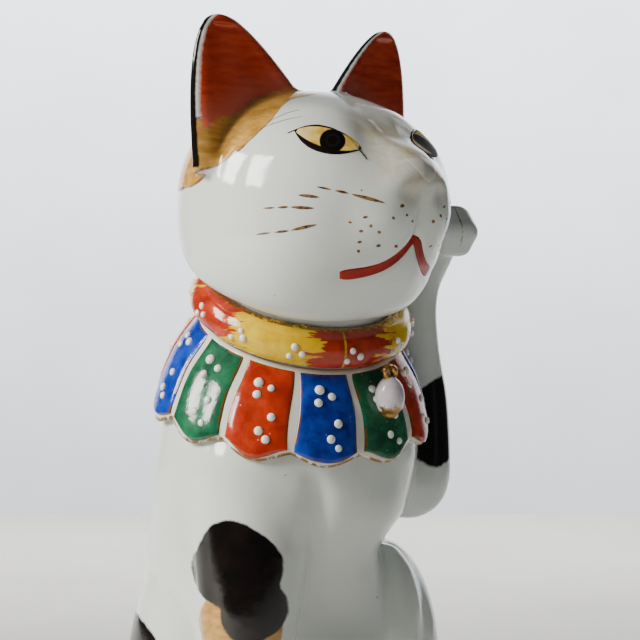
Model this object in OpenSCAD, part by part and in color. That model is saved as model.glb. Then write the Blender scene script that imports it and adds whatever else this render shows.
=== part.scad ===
// Beckoning cat figurine: hollow cast porcelain, luted limbs, enamelled collar and bib.
// Millimetres, +Z up. The body faces -Y and the cat's left is +X.
// The origin is the centre of the flat foot the figure stands on.

/* [Overall] */
// Wall of the cast shells
wall = 4.5; // [3:0.5:7]
// Wall round the foot opening
foot_wall = 6; // [4:0.5:9]
// Gap left between separately made pieces
seam = 0.1; // [0.05:0.05:0.3]

/* [Head] */
// Turn of the head towards the cat's left, degrees
head_yaw = 18; // [0:1:35]
// Half width of the head
head_rx = 43.8; // [40:0.2:50]
// Half depth of the head
head_ry = 40; // [36:0.5:46]
// Height of the crown above the head centre
head_rz = 39; // [34:0.5:46]
// How far the muzzle stands out
muzzle_out = 15; // [8:0.5:18]
// Height of the ear tips above the head centre
ear_tip_z = 63.5; // [50:0.5:72]

/* [Collar and bib] */
// Thickness of the collar roll
collar_out = 7.5; // [4:0.5:10]
// Number of scalloped bib panels
panel_count = 12; // [8:1:16]
// Thickness of the bib under the panels
bib_thick = 1.3; // [0.8:0.1:2.5]
// Thickness of each panel
panel_thick = 0.9; // [0.5:0.1:2]
// How far the bib stands off the chest at its lower edge
bib_flare = 2.4; // [0:0.2:4]
// Radius of the raised enamel dots
dot_r = 1.5; // [1:0.1:2.2]
// Half height of the bell
bell_h = 7.4; // [5:0.1:9]

/* [Limbs] */
// Elbow height of the raised arm
elbow_z = 102; // [90:1:112]
// Radius of the standing foreleg where it leaves the shoulder
foreleg_r = 23; // [18:0.5:26]

/* [Foot] */
// Radius of the base disc
base_r = 38.5; // [34:0.5:38.5]
// Thickness of the base disc
base_t = 5; // [4:0.5:8]
// Radius of the vent hole
vent_r = 6; // [3:0.5:9]

/* [Hidden] */
around = 36;
head_centre = [0.2, -18, 203];
head_rz_down = 47;
head_power = 2.3;
neck_tilt = 24;
crown_tilt = 13;
neck_point = [2, -9.9, 169];
// Body rings: height, half width, half depth, centre x, centre y, forward tilt
body_rings = [
    [0, 45, 45, -1, 15, 0],
    [7, 47.5, 47.5, -1, 15, 0],
    [32, 47.5, 48, -1, 14, 0],
    [60, 45, 46, -1, 13, 1],
    [84, 43.5, 43, -1, 10, 4],
    [105, 45.5, 44, 0, 3, 9],
    [120, 46, 44, 0.5, -1, 13],
    [134, 44, 42, 1, -4, 17],
    [148.5, 40, 39, 1.5, -6, 21],
    [160.5, 33.5, 33, 2, -7.5, 24],
    [170, 31, 31, 2, -10.5, 24],
    [179, 31, 31, 2, -14, 24],
    [184, 31, 31, 2, -16, 24]
];
body_top = 10;
foot_y = 15;
bib_low = 6.62;
bib_high = 9.12;
collar_mid = 9.87;
collar_half = 0.64;
panel_step = 360 / panel_count;
panel_phase = -8;
scallop = 0.3;

// ---- helpers ----

// One coordinate of a smooth curve through four neighbours
function smooth4(a, b, c, d, f) =
    0.5 * (2 * b + (c - a) * f + (2 * a - 5 * b + 4 * c - d) * f * f
    + (3 * b - a - 3 * c + d) * f * f * f);

function row_at(list, i) = list[max(0, min(len(list) - 1, i))];

// Every value of a ring list at a fractional ring number
function ring_at(list, t) =
    let (i = floor(t), f = t - i)
    [for (k = [0 : len(list[0]) - 1])
        smooth4(row_at(list, i - 1)[k], row_at(list, i)[k],
            row_at(list, i + 1)[k], row_at(list, i + 2)[k], f)];

// Point of the body skin: ring t, angle a from the front, raised by lift
function body_point(t, a, lift) =
    let (r = ring_at(body_rings, t), d = (r[2] + lift) * cos(a))
    [r[3] + (r[1] + lift) * sin(a), r[4] - d * cos(r[5]), r[0] - d * sin(r[5])];

function turn(p, yaw) =
    [p[0] * cos(yaw) - p[1] * sin(yaw), p[0] * sin(yaw) + p[1] * cos(yaw), p[2]];

function hill(az, el, az0, el0, wide, tall) =
    exp(-pow((az - az0) / wide, 2) / 2 - pow((el - el0) / tall, 2) / 2);

// Distance from the head centre to its skin in direction az (from the nose), el
function head_radius(az, el) =
    let (x = cos(el) * sin(az), y = -cos(el) * cos(az), z = sin(el),
        rz = z > 0 ? head_rz : head_rz_down,
        ball = pow(pow(abs(x) / head_rx, head_power) + pow(abs(y) / head_ry, head_power)
            + pow(abs(z) / rz, head_power), -1 / head_power),
        shaped = ball + muzzle_out * hill(az, el, 0, 3, 26, 20)
            + 2 * hill(az, el, 0, 16, 9, 7)
            + 4 * hill(az, el, 0, -38, 34, 16)
            + 2.5 * hill(abs(az), el, 52, -22, 22, 20)
            - 1.2 * hill(abs(az), el, 34, 31, 11, 9),
        w = turn([x, y, z], head_yaw),
        down = -(w[2] * cos(neck_tilt) - w[1] * sin(neck_tilt)),
        room = (head_centre - neck_point) * [0, -sin(neck_tilt), cos(neck_tilt)] - 6.7,
        flat = down > 0.05 ? room / down : 1000)
    pow(pow(shaped, -9) + pow(flat, -9), -1 / 9);

function head_at(az, el, lift) =
    let (r = head_radius(az, el) + lift)
    head_centre + turn([r * cos(el) * sin(az), -r * cos(el) * cos(az), r * sin(el)], head_yaw);

// Direction on the head for angle a round the crown axis and polar angle q
function head_polar(a, q, lift) =
    let (x = sin(q) * sin(a), y0 = -sin(q) * cos(a), z0 = cos(q),
        y = y0 * cos(crown_tilt) - z0 * sin(crown_tilt),
        z = y0 * sin(crown_tilt) + z0 * cos(crown_tilt))
    head_at(atan2(x, -y), asin(z), lift);

function neck_ring(radius, rise) =
    [for (j = [0 : around - 1])
        let (a = j * 360 / around + head_yaw, d = radius * cos(a))
        neck_point + [radius * sin(a), -d * cos(neck_tilt) - rise * sin(neck_tilt),
            rise * cos(neck_tilt) - d * sin(neck_tilt)]];

function quad(a, b, c, d, flip) =
    flip ? [[a, b, c], [a, c, d]] : [[a, c, b], [a, d, c]];

// Skin over a list of equal rings: looped (a tube with a wall) or capped at both ends
module skin(rings, looped = false, flip = false) {
    n = len(rings[0]);
    m = len(rings);
    points = [for (r = rings) each r];
    sides = [for (i = [0 : m - (looped ? 1 : 2)])
        for (j = [0 : n - 1])
            each quad(i * n + j, i * n + (j + 1) % n,
                ((i + 1) % m) * n + (j + 1) % n, ((i + 1) % m) * n + j, flip)];
    first = [for (j = [0 : n - 1]) flip ? [m * n, (j + 1) % n, j] : [m * n, j, (j + 1) % n]];
    last = [for (j = [0 : n - 1])
        let (k = (m - 1) * n)
        flip ? [m * n + 1, k + j, k + (j + 1) % n] : [m * n + 1, k + (j + 1) % n, k + j]];
    if (looped)
        polyhedron(points, sides, convexity = 10);
    else
        polyhedron(concat(points, [middle(rings[0]), middle(rings[m - 1])]),
            concat(sides, first, last), convexity = 10);
}

function middle(list) = list * 0 == 0 ? list : [for (k = [0 : 2])
    [for (p = list) p[k]] * [for (p = list) 1] / len(list)];

// Plate over a patch of skin: under[i][j] and over[i][j] are its two faces
module plate(under, over) {
    m = len(under);
    n = len(under[0]);
    points = concat([for (r = under) each r], [for (r = over) each r]);
    at = function (i, j) i * n + j;
    top = m * n;
    inside = [for (i = [0 : m - 2]) for (j = [0 : n - 2])
        each quad(at(i, j), at(i, j + 1), at(i + 1, j + 1), at(i + 1, j), true)];
    outside = [for (i = [0 : m - 2]) for (j = [0 : n - 2])
        each quad(top + at(i, j), top + at(i, j + 1), top + at(i + 1, j + 1),
            top + at(i + 1, j), false)];
    loop = concat([for (j = [0 : n - 1]) at(0, j)], [for (i = [1 : m - 1]) at(i, n - 1)],
        [for (j = [n - 2 : -1 : 0]) at(m - 1, j)], [for (i = [m - 2 : -1 : 1]) at(i, 0)]);
    edge = [for (k = [0 : len(loop) - 1])
        let (a = loop[k], b = loop[(k + 1) % len(loop)])
        each quad(a, b, top + b, top + a, false)];
    polyhedron(points, concat(inside, outside, edge), convexity = 6);
}

// Limb as a chain of joined balls: rows of x, y, z, radius
module chain(rows, facets = 18) {
    for (i = [0 : len(rows) - 2])
        hull() {
            translate([rows[i][0], rows[i][1], rows[i][2]])
                sphere(rows[i][3], $fn = facets);
            translate([rows[i + 1][0], rows[i + 1][1], rows[i + 1][2]])
                sphere(rows[i + 1][3], $fn = facets);
        }
}

// Egg-shaped mass built up in layers
module layered_egg(semi, layers = 10, facets = 24) {
    for (i = [0 : layers - 1])
        hull() {
            egg_slice(semi, -90 + i * 180 / layers, facets);
            egg_slice(semi, -90 + (i + 1) * 180 / layers, facets);
        }
}

module egg_slice(semi, lat, facets) {
    translate([0, 0, semi[2] * sin(lat)])
        scale([semi[0] * max(0.1, cos(lat)), semi[1] * max(0.1, cos(lat)), 1])
            cylinder(r = 1, h = 0.6, center = true, $fn = facets);
}

// Outside of the cast body, used to seat the limbs against it
module body_form(lift) {
    skin([for (t = [0 : 0.5 : body_top])
        [for (j = [0 : around - 1]) body_point(t, j * 360 / around, lift)]]);
}

module head_form(lift) {
    skin([for (q = [6 : 8 : 142])
        [for (j = [0 : around - 1]) head_polar(j * 360 / around, q, lift)]], flip = true);
}

// Everything below the foot plane
module ground() {
    translate([-150, -150, -60])
        cube([300, 300, 60]);
}

// ---- body ----

module body_shell() {
    outer = [for (t = [0 : 0.5 : body_top])
        [for (j = [0 : around - 1]) body_point(t, j * 360 / around, 0)]];
    inner = [for (t = [body_top : -0.5 : 0])
        [for (j = [0 : around - 1])
            body_point(t, j * 360 / around, t < 0.8 ? -foot_wall : -wall)]];
    color("white")
        skin(concat(outer, inner), looped = true);
}

module base_disc() {
    color("white")
        translate([-1, foot_y, 0])
            difference() {
                cylinder(r = base_r, h = base_t, $fn = 96);
                translate([12, 8, -1])
                    cylinder(r = vent_r, h = base_t + 2, $fn = 48);
            }
}

module haunch_left() {
    color("white")
        difference() {
            translate([42, 10, 42])
                layered_egg([18, 30, 40.5]);
            body_form(seam);
        }
}

module haunch_right() {
    color("white")
        difference() {
            translate([-39, 12, 40])
                layered_egg([15, 28, 39]);
            body_form(seam);
        }
}

module hind_paw(side) {
    rows = [for (i = [0 : 8])
        let (f = i / 8)
        [side * (41 - 5 * f), 2 - 38 * f, 9 + 1.5 * sin(180 * f), 9 + 2 * sin(180 * f)]];
    difference() {
        chain(rows);
        body_form(seam);
        ground();
        if (side > 0)
            translate([42, 10, 42])
                layered_egg([18 + seam, 30 + seam, 40.5 + seam]);
        else
            translate([-39, 12, 40])
                layered_egg([15 + seam, 28 + seam, 39 + seam]);
    }
}

module hind_paw_left() {
    color("white")
        hind_paw(1);
}

module hind_paw_right() {
    color("white")
        hind_paw(-1);
}

foreleg_rows = [for (i = [0 : 9])
    let (f = i / 9)
    [-19 - 11 * f, -16 - 14 * sin(90 * f), 112 - 92 * f, foreleg_r - 12.5 * f]];

module foreleg_right() {
    color("white")
        difference() {
            chain(foreleg_rows, 20);
            body_form(seam);
            forepaw_form(seam);
            ground();
        }
}

module forepaw_form(lift) {
    chain([for (i = [0 : 8])
        let (f = i / 8)
        [-30, -32 - 16 * f, 11 - 1.5 * f, 12.5 - 2.5 * f + lift]]);
    for (k = [-1 : 1])
        hull() {
            translate([-30 + 8 * k, -42, 8])
                sphere(7 + lift, $fn = 16);
            translate([-30 + 8.5 * k, -51 + abs(k), 7])
                sphere(5.5 + lift, $fn = 16);
        }
}

module forepaw_right() {
    color("white")
        difference() {
            forepaw_form(0);
            body_form(seam);
            ground();
        }
}

// Raised arm: shoulder, elbow, then up beside the cheek
arm_rows = [
    [36, 6, 118, 14],
    [42, 2, 109, 14],
    [50.5, -2, elbow_z, 13],
    [53, 0, 118, 11.5],
    [54.5, 3, 135, 10.5],
    [53, 3, 145, 9.8],
    [52, 3, 155, 9.4],
    [51.5, 3, 166, 9],
    [53, 3, 177, 9],
    [57, 2, 186, 9.2]
];

module raised_arm() {
    color("white")
        difference() {
            chain(arm_rows, 20);
            body_form(seam);
            bib_form(0.5);
            raised_paw_form(seam);
            collar_form(0.3);
            head_form(seam);
        }
}

module raised_paw_form(lift) {
    chain([for (i = [0 : 5])
        let (f = i / 5)
        [59.5 + 2 * f, 2 - 7 * f, 190 + 6 * f, 8.6 - 0.8 * f + lift]]);
    for (k = [-1 : 1])
        hull() {
            translate([61.5 + 4 * k, -4, 197])
                sphere(4.6 + lift, $fn = 16);
            translate([61.5 + 4.4 * k, -12, 192])
                sphere(3.9 + lift, $fn = 16);
        }
}

module raised_paw() {
    color("white")
        difference() {
            raised_paw_form(0);
            head_form(seam);
        }
}

module tail() {
    rows = [for (i = [0 : 12])
        let (f = i / 12)
        [-14 + 42 * f - 16 * f * f, 62 + 4 * sin(180 * f), 12 + 40 * f * f, 9.5 - 3 * f]];
    color("white")
        difference() {
            chain(rows, 16);
            body_form(seam);
            ground();
        }
}

// ---- head ----

module head_shell() {
    polar = [for (q = [5 : 6.2 : 135]) q];
    outer = [for (q = polar)
        [for (j = [0 : around - 1]) head_polar(j * 360 / around, q, 0)]];
    inner = [for (k = [len(polar) - 1 : -1 : 0])
        [for (j = [0 : around - 1]) head_polar(j * 360 / around, polar[k], -wall)]];
    neck = [neck_ring(30, 5.8), neck_ring(30, 1.6), neck_ring(25.5, 1.6), neck_ring(25.5, 7)];
    color("white")
        skin(concat(outer, neck, inner), flip = true);
}

// Ear in the head's own directions: x out, y back, z up
module ear_form(side) {
    for (i = [0 : 8])
        hull() {
            ear_slice(side, i / 9);
            ear_slice(side, (i + 1) / 9);
        }
}

// Frame of the ear at height f (0 to 1): it leans out and is swept back at its outer edge
module ear_place(side, f, back) {
    translate([side * (18.2 + 20.1 * f), back + 3.1 * f, 14 + (ear_tip_z - 15) * f])
        rotate([0, 0, side * 8])
            children();
}

function ear_wide(f) = 29 * pow(max(0, 1 - f), 0.55) + 0.8;

module ear_slice(side, f) {
    ear_place(side, f, -2)
        scale([ear_wide(f), 6 * pow(max(0, 1 - f), 0.8) + 1.5, 1])
            cylinder(r = 1, h = 1, $fn = 24);
}

module ear_hollow(side) {
    for (i = [2 : 7])
        hull() {
            ear_scoop(side, i / 9);
            ear_scoop(side, (i + 1) / 9);
        }
}

module ear_scoop(side, f) {
    deep = 6 * pow(max(0, 1 - f), 0.8) + 1.5;
    ear_place(side, f, -2 - 0.95 * deep)
        scale([max(0.5, ear_wide(f) - 2.6), 5.2 * pow(max(0, 1 - f), 0.8) + 0.8, 1])
            cylinder(r = 1, h = 1, $fn = 20);
}

module ear(side) {
    difference() {
        translate(head_centre)
            rotate([0, 0, head_yaw])
                difference() {
                    ear_form(side);
                    ear_hollow(side);
                }
        head_form(seam);
    }
}

module ear_left() {
    color("dimgray")
        ear(1);
}

module ear_right() {
    color("dimgray")
        ear(-1);
}

// Patch of enamel on the head between two curves of elevation
function face_patch(az0, az1, low, high, lift, steps = 12, rows = 4) =
    [for (i = [0 : rows])
        [for (j = [0 : steps])
            let (s = j / steps, az = az0 + (az1 - az0) * s,
                el = low(s) + (high(s) - low(s)) * i / rows)
            head_at(az, el, lift)]];

// Almond-shaped eye: the outer corner is higher than the tear corner
module eye(side) {
    along = function (s) side * (2 * s - 1);
    open = function (s) pow(max(0, 1 - pow(abs(2 * s - 1), 2.2)), 0.9);
    low = function (s) 25.1 + 4.8 * along(s) - 5.9 * open(s);
    high = function (s) 25.7 + 4.8 * along(s) + 6.6 * open(s);
    from = side * 34.5 - 13.8;
    plate(face_patch(from, from + 27.6, low, high, seam),
        face_patch(from, from + 27.6, low, high, seam + 0.8));
}

module eye_left() {
    color("gold")
        eye(1);
}

module eye_right() {
    color("gold")
        eye(-1);
}

module nose_pad() {
    low = function (s) 11 - 3.5 * sin(180 * s);
    high = function (s) 11.6 + 3.5 * sin(180 * s);
    color("lightpink")
        plate(face_patch(-9, 9, low, high, seam), face_patch(-9, 9, low, high, seam + 0.9));
}

// Half way up the lip line: it peaks under the nose and falls to each corner
function lip_el(az) = -11 - 17 * (1 - exp(-abs(az) / 9));

module mouth_line() {
    low = function (s) lip_el(-29 + 58 * s) - 0.9 - 0.8 * abs(2 * s - 1);
    high = function (s) lip_el(-29 + 58 * s) + 0.9 + 0.8 * abs(2 * s - 1);
    color("firebrick")
        plate(face_patch(-29, 29, low, high, seam, 36, 2),
            face_patch(-29, 29, low, high, seam + 0.7, 36, 2));
}

// ---- collar, bib and bell ----

// Section of the collar roll, from its inside edge round the outside and back
function roll_point(a, b, extra) =
    let (s = cos(b), lift = b < 180 ? seam + (collar_out + extra) * pow(sin(b), 0.8) : seam)
    body_point(collar_mid - (collar_half + extra / 8) * s, a, max(seam, lift));

module collar_form(extra) {
    skin([for (j = [0 : 47])
        [for (b = [0 : 15 : 345]) roll_point(j * 7.5, b, extra)]], looped = true, flip = true);
}

module collar_band() {
    color("firebrick")
        collar_form(0);
}

// Lower edge of the bib: one scallop to a panel
function bib_edge(a) =
    bib_low + scallop * (1 - abs(cos(180 * (a - panel_phase) / panel_step)));

// Stand-off of the bib: it leans out towards its lower edge
function flare(t) =
    bib_flare * pow(max(0, min(1.1, (bib_high - t) / (bib_high - bib_low))), 1.6);

// Solid out to the face of the bib, used to seat the raised arm against it
module bib_form(extra) {
    skin([for (t = [bib_low - 0.1 : 0.2 : bib_high + 0.1])
        [for (j = [0 : around - 1])
            body_point(t, j * 360 / around, flare(t) + bib_thick + panel_thick + extra)]]);
}

module bib_cape() {
    section = function (a) concat(
        [for (k = [0 : 6])
            let (t = bib_edge(a) + (bib_high - bib_edge(a)) * k / 6)
            body_point(t, a, seam + bib_thick + flare(t))],
        [for (k = [6 : -1 : 0]) body_point(bib_edge(a) + (bib_high - bib_edge(a)) * k / 6,
            a, seam)]);
    color("ivory")
        skin([for (j = [0 : 95]) section(j * 3.75)], looped = true, flip = true);
}

// Scalloped enamel panel number k, counted towards the cat's left from the front
module bib_panel(k) {
    mid = panel_phase + (k - 1) * panel_step;
    half = panel_step / 2 - 1.6;
    face = function (lift) [for (i = [0 : 8])
        [for (j = [0 : 8])
            let (a = mid + half * (j / 4 - 1),
                low = bib_edge(a) + 0.12 + 0.1 * pow(abs(j / 4 - 1), 2))
            let (t = low + (bib_high - 0.08 - low) * i / 8)
            body_point(t, a, flare(t) + lift)]];
    plate(face(2 * seam + bib_thick), face(2 * seam + bib_thick + panel_thick));
}

panel_colours = ["firebrick", "mediumblue", "seagreen"];

module coloured_panel(k) {
    color(panel_colours[k % 3])
        bib_panel(k);
}

module bib_panel_01() { coloured_panel(1); }
module bib_panel_02() { coloured_panel(2); }
module bib_panel_03() { coloured_panel(3); }
module bib_panel_04() { coloured_panel(4); }
module bib_panel_05() { coloured_panel(5); }
module bib_panel_06() { coloured_panel(6); }
module bib_panel_07() { coloured_panel(7); }
module bib_panel_08() { coloured_panel(8); }
module bib_panel_09() { coloured_panel(9); }
module bib_panel_10() { coloured_panel(10); }
module bib_panel_11() { coloured_panel(11); }
module bib_panel_12() { coloured_panel(12); }

// Half ball of enamel standing on the skin at ring t, angle a
module body_dot(t, a, lift, r) {
    p = body_point(t, a, lift);
    du = body_point(t, a + 1, lift) - body_point(t, a - 1, lift);
    dv = body_point(t + 0.05, a, lift) - body_point(t - 0.05, a, lift);
    n = cross(du, dv) / norm(cross(du, dv));
    x = du / norm(du);
    y = cross(n, x);
    multmatrix([[x[0], y[0], n[0], p[0]], [x[1], y[1], n[1], p[1]],
        [x[2], y[2], n[2], p[2]], [0, 0, 0, 1]])
        rotate_extrude($fn = 24)
            intersection() {
                circle(r, $fn = 32);
                square(r + 1);
            }
}

// Two trios of drops on a panel: across it and up it, each from -1 to 1
dot_plan = [[-0.27, 0.62], [0.17, 0.55], [-0.3, 0.34], [0.4, -0.1], [0.04, -0.4], [0.34, -0.58]];

module enamel_dots() {
    color("white")
        for (k = [0 : panel_count - 1])
            for (d = dot_plan)
                let (t = bib_low + 0.13 + (bib_high - bib_low - 0.23) * (d[1] + 1) / 2)
                body_dot(t, panel_phase + k * panel_step + 13 * d[0],
                    flare(t) + 2 * seam + bib_thick + panel_thick + 0.1, dot_r);
}

module collar_dots() {
    color("white")
        for (k = [0 : 11])
            for (i = [0 : 2])
                body_dot(collar_mid + (i == 1 ? 0.1 : -0.1),
                    k * 30 + 4.5 * (i - 1), seam + collar_out + 0.05, dot_r * 0.75);
}

bell_at = body_point(8.45, 23, flare(8.45) + 2 * seam + bib_thick + panel_thick + 5);

module bell() {
    color("ivory")
        translate(bell_at)
            difference() {
                scale([4.9, 4.9, bell_h])
                    sphere(1, $fn = 48);
                translate([-6, -8, -bell_h])
                    cube([12, 16, 2.2]);
            }
}

module bell_knot() {
    color("goldenrod")
        translate(bell_at + [0, 0, bell_h + 1.7])
            rotate([90, 0, 20])
                rotate_extrude($fn = 32)
                    translate([1.9, 0])
                        circle(0.8, $fn = 20);
}

// ---- assembly ----

body_shell();
base_disc();
haunch_left();
haunch_right();
hind_paw_left();
hind_paw_right();
foreleg_right();
forepaw_right();
raised_arm();
raised_paw();
tail();
head_shell();
ear_left();
ear_right();
nose_pad();
eye_left();
eye_right();
mouth_line();
collar_band();
bib_cape();
bib_panel_01();
bib_panel_02();
bib_panel_03();
bib_panel_04();
bib_panel_05();
bib_panel_06();
bib_panel_07();
bib_panel_08();
bib_panel_09();
bib_panel_10();
bib_panel_11();
bib_panel_12();
enamel_dots();
collar_dots();
bell();
bell_knot();
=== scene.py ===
# %% [markdown]
# # A beckoning cat in enamelled porcelain
# The real figure is slip-cast porcelain: hollow pieces are poured in plaster moulds, luted
# together with slip, fired, glazed white, and then painted with overglaze enamels and gold in a
# second firing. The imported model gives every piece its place. Here the fired surface is made:
# one glazed skin for the body, one for the head, and the enamels that sit on them.

# %% Load the frame
import math
import bpy
import numpy as np
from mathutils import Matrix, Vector


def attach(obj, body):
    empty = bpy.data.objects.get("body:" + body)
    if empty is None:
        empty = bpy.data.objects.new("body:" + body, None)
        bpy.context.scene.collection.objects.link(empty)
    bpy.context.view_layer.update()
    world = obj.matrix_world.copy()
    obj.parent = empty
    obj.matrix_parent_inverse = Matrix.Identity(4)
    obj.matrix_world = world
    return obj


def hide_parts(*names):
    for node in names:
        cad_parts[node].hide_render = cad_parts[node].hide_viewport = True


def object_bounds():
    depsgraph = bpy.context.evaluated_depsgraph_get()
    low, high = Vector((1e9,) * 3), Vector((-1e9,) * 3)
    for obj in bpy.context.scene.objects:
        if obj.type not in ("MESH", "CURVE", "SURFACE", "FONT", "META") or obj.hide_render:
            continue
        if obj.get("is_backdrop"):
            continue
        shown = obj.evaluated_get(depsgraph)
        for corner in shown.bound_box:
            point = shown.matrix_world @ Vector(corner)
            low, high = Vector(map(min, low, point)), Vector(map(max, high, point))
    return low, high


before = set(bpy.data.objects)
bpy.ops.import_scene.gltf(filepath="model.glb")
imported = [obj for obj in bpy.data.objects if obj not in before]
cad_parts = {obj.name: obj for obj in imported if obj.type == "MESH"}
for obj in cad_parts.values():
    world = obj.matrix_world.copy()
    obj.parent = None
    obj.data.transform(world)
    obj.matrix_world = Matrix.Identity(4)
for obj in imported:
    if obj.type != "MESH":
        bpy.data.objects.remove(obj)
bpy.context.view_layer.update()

# %% [markdown]
# The forms are worked out in millimetres, as a modeller would, and turned to metres only when a
# mesh is made. The body is a stack of tilted oval rings. These are the same rings as the CAD
# body's, so the collar and the bib can be laid on the skin by ring number and angle.

# %% Rings of the body
MM = 0.001
# height, half width, half depth, centre x, centre y, forward tilt in degrees
BODY_RINGS = np.array([
    [0, 45, 45, -1, 15, 0], [7, 47.5, 47.5, -1, 15, 0], [32, 47.5, 48, -1, 14, 0],
    [60, 45, 46, -1, 13, 1], [84, 43.5, 43, -1, 10, 4], [105, 45.5, 44, 0, 3, 9],
    [120, 46, 44, 0.5, -1, 13], [134, 44, 42, 1, -4, 17], [148.5, 40, 39, 1.5, -6, 21],
    [160.5, 33.5, 33, 2, -7.5, 24], [170, 31, 31, 2, -10.5, 24], [179, 31, 31, 2, -14, 24],
    [184, 31, 31, 2, -16, 24]], float)


def ring_at(t):
    """The six ring values at fractional ring numbers, on a smooth curve through the rings."""
    t = np.asarray(t, float)
    i = np.floor(t).astype(int)
    f = (t - i)[..., None]
    a, b, c, d = (BODY_RINGS[np.clip(i + k, 0, len(BODY_RINGS) - 1)] for k in (-1, 0, 1, 2))
    return 0.5 * (2 * b + (c - a) * f + (2 * a - 5 * b + 4 * c - d) * f ** 2
                  + (3 * b - a - 3 * c + d) * f ** 3)


def on_body(t, angle, lift=0.0):
    """Point on the body at ring t and angle (0 in front, + to the cat's left), in mm."""
    t, angle, lift = np.broadcast_arrays(np.asarray(t, float), np.asarray(angle, float), lift)
    r = ring_at(t)
    a, tilt = np.radians(angle), np.radians(r[..., 5])
    depth = (r[..., 2] + lift) * np.cos(a)
    return np.stack([r[..., 3] + (r[..., 1] + lift) * np.sin(a),
                     r[..., 4] - depth * np.cos(tilt), r[..., 0] - depth * np.sin(tilt)], -1)


print("shoulder width mm:", round(float(2 * BODY_RINGS[6, 1]), 1))

# %% [markdown]
# The head is a rounded box seen from its centre: for each direction there is one distance to the
# skin. Soft hills on that distance push out the muzzle, the nose, the brows and the cheeks, and
# small hollows make the eye sockets, the nostrils and the lip line. Directions are two angles:
# az round the head from the nose (+ to the cat's left) and el up from level.

# %% Shape of the head
HEAD_CENTRE = np.array([0.2, -18.0, 203.0])
HEAD_YAW = 18.0
NECK_POINT = np.array([2.0, -9.9, 169.0])
NECK_TILT = math.radians(24)


def turned(p, degrees):
    c, s = math.cos(math.radians(degrees)), math.sin(math.radians(degrees))
    x, y, z = p[..., 0], p[..., 1], p[..., 2]
    return np.stack([x * c - y * s, x * s + y * c, z], -1)


def hill(az, el, az0, el0, wide, tall):
    return np.exp(-((az - az0) / wide) ** 2 / 2 - ((el - el0) / tall) ** 2 / 2)


def lip_height(az):
    """Elevation of the painted lip line: a peak under the nose, falling to both corners."""
    return -11 - 17 * (1 - np.exp(-np.abs(az) / 9))


def head_reach(az, el):
    """Distance in mm from the head centre to its skin."""
    a, e = np.radians(az), np.radians(el)
    x, y, z = np.cos(e) * np.sin(a), -np.cos(e) * np.cos(a), np.sin(e)
    side = np.abs(az)
    rz = np.where(z > 0, 39.0, 47.0)
    box = ((np.abs(x) / 43.8) ** 2.3 + (np.abs(y) / 40) ** 2.3 + (np.abs(z) / rz) ** 2.3) ** (-1 / 2.3)
    shaped = (box + 15 * hill(az, el, 0, 3, 26, 20) + 2 * hill(az, el, 0, 16, 9, 7)
              + 4 * hill(az, el, 0, -38, 34, 16) + 2.5 * hill(side, el, 52, -22, 22, 20)
              - 1.2 * hill(side, el, 34, 31, 11, 9))
    relief = (2.6 * hill(az, el, 0, 9, 7.5, 5.5) - 1.2 * hill(side, el, 7, 3.2, 2.8, 2.4)
              + 0.9 * hill(side, el, 10, 6, 3.5, 3) + 2.0 * hill(side, el, 12, -6, 8, 7)
              - 1.6 * hill(az, el, 0, -5, 2.4, 6) - 0.6 * hill(side, el, 27, -3, 6, 10)
              - 1.5 * np.exp(-((el - lip_height(az)) / 2.6) ** 2) * np.exp(-(az / 31) ** 4)
              + 1.8 * hill(az, el, 0, -26, 13, 6) - 1.4 * hill(side, el, 15, 25, 5, 8)
              - 2.0 * hill(az, el, 0, 28, 8, 7) + 1.0 * hill(side, el, 30, 42, 13, 7)
              + 2.2 * hill(side, el, 36, 26, 13, 10) - 0.5 * hill(az, el, 0, 44, 9, 10)
              - 3.2 * hill(az, el, 52, -24, 17, 15)
              - 2.2 * hill(az, el, 58, 12, 15, 16))
    w = turned(np.stack([x, y, z], -1), HEAD_YAW)
    down = -(w[..., 2] * math.cos(NECK_TILT) - w[..., 1] * math.sin(NECK_TILT))
    room = (HEAD_CENTRE - NECK_POINT) @ np.array([0, -math.sin(NECK_TILT), math.cos(NECK_TILT)]) - 6.7
    flat = np.where(down > 0.05, room / np.maximum(down, 0.05), 1000.0)
    return ((shaped + relief) ** -9 + flat ** -9) ** (-1 / 9)


def on_head(az, el, lift=0.0):
    az, el = np.broadcast_arrays(np.asarray(az, float), np.asarray(el, float))
    r, a, e = head_reach(az, el) + lift, np.radians(az), np.radians(el)
    return HEAD_CENTRE + turned(np.stack([r * np.cos(e) * np.sin(a), -r * np.cos(e) * np.cos(a),
                                          r * np.sin(e)], -1), HEAD_YAW)


def above_neck(p):
    """Height of points over the tilted plane where the head is luted to the neck."""
    return ((p[..., 2] - NECK_POINT[2]) * math.cos(NECK_TILT)
            - (p[..., 1] - NECK_POINT[1]) * math.sin(NECK_TILT))


def head_angles(p):
    """az, el and distance of points, in the head's own directions, with the turned points."""
    q = turned(p - HEAD_CENTRE, -HEAD_YAW)
    n = np.linalg.norm(q, axis=-1) + 1e-9
    return np.degrees(np.arctan2(q[..., 0], -q[..., 1])), np.degrees(np.arcsin(q[..., 2] / n)), n, q


print("nose stands out mm:", round(float(head_reach(np.array(0.0), np.array(9.0))), 1))

# %% [markdown]
# Limbs, haunches and ears grow out of the body without a crease, because the potter smooths slip
# over each join. A field of distances does the same: every form is a function that is negative
# inside, and a soft minimum runs two forms together with a fillet of a chosen size.

# %% Distance fields
def soft_join(a, b, fillet):
    h = np.clip(0.5 + 0.5 * (b - a) / fillet, 0, 1)
    return b * (1 - h) + a * h - fillet * h * (1 - h)


def soft_cut(a, b, fillet):
    return -soft_join(-a, b, fillet)


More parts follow.
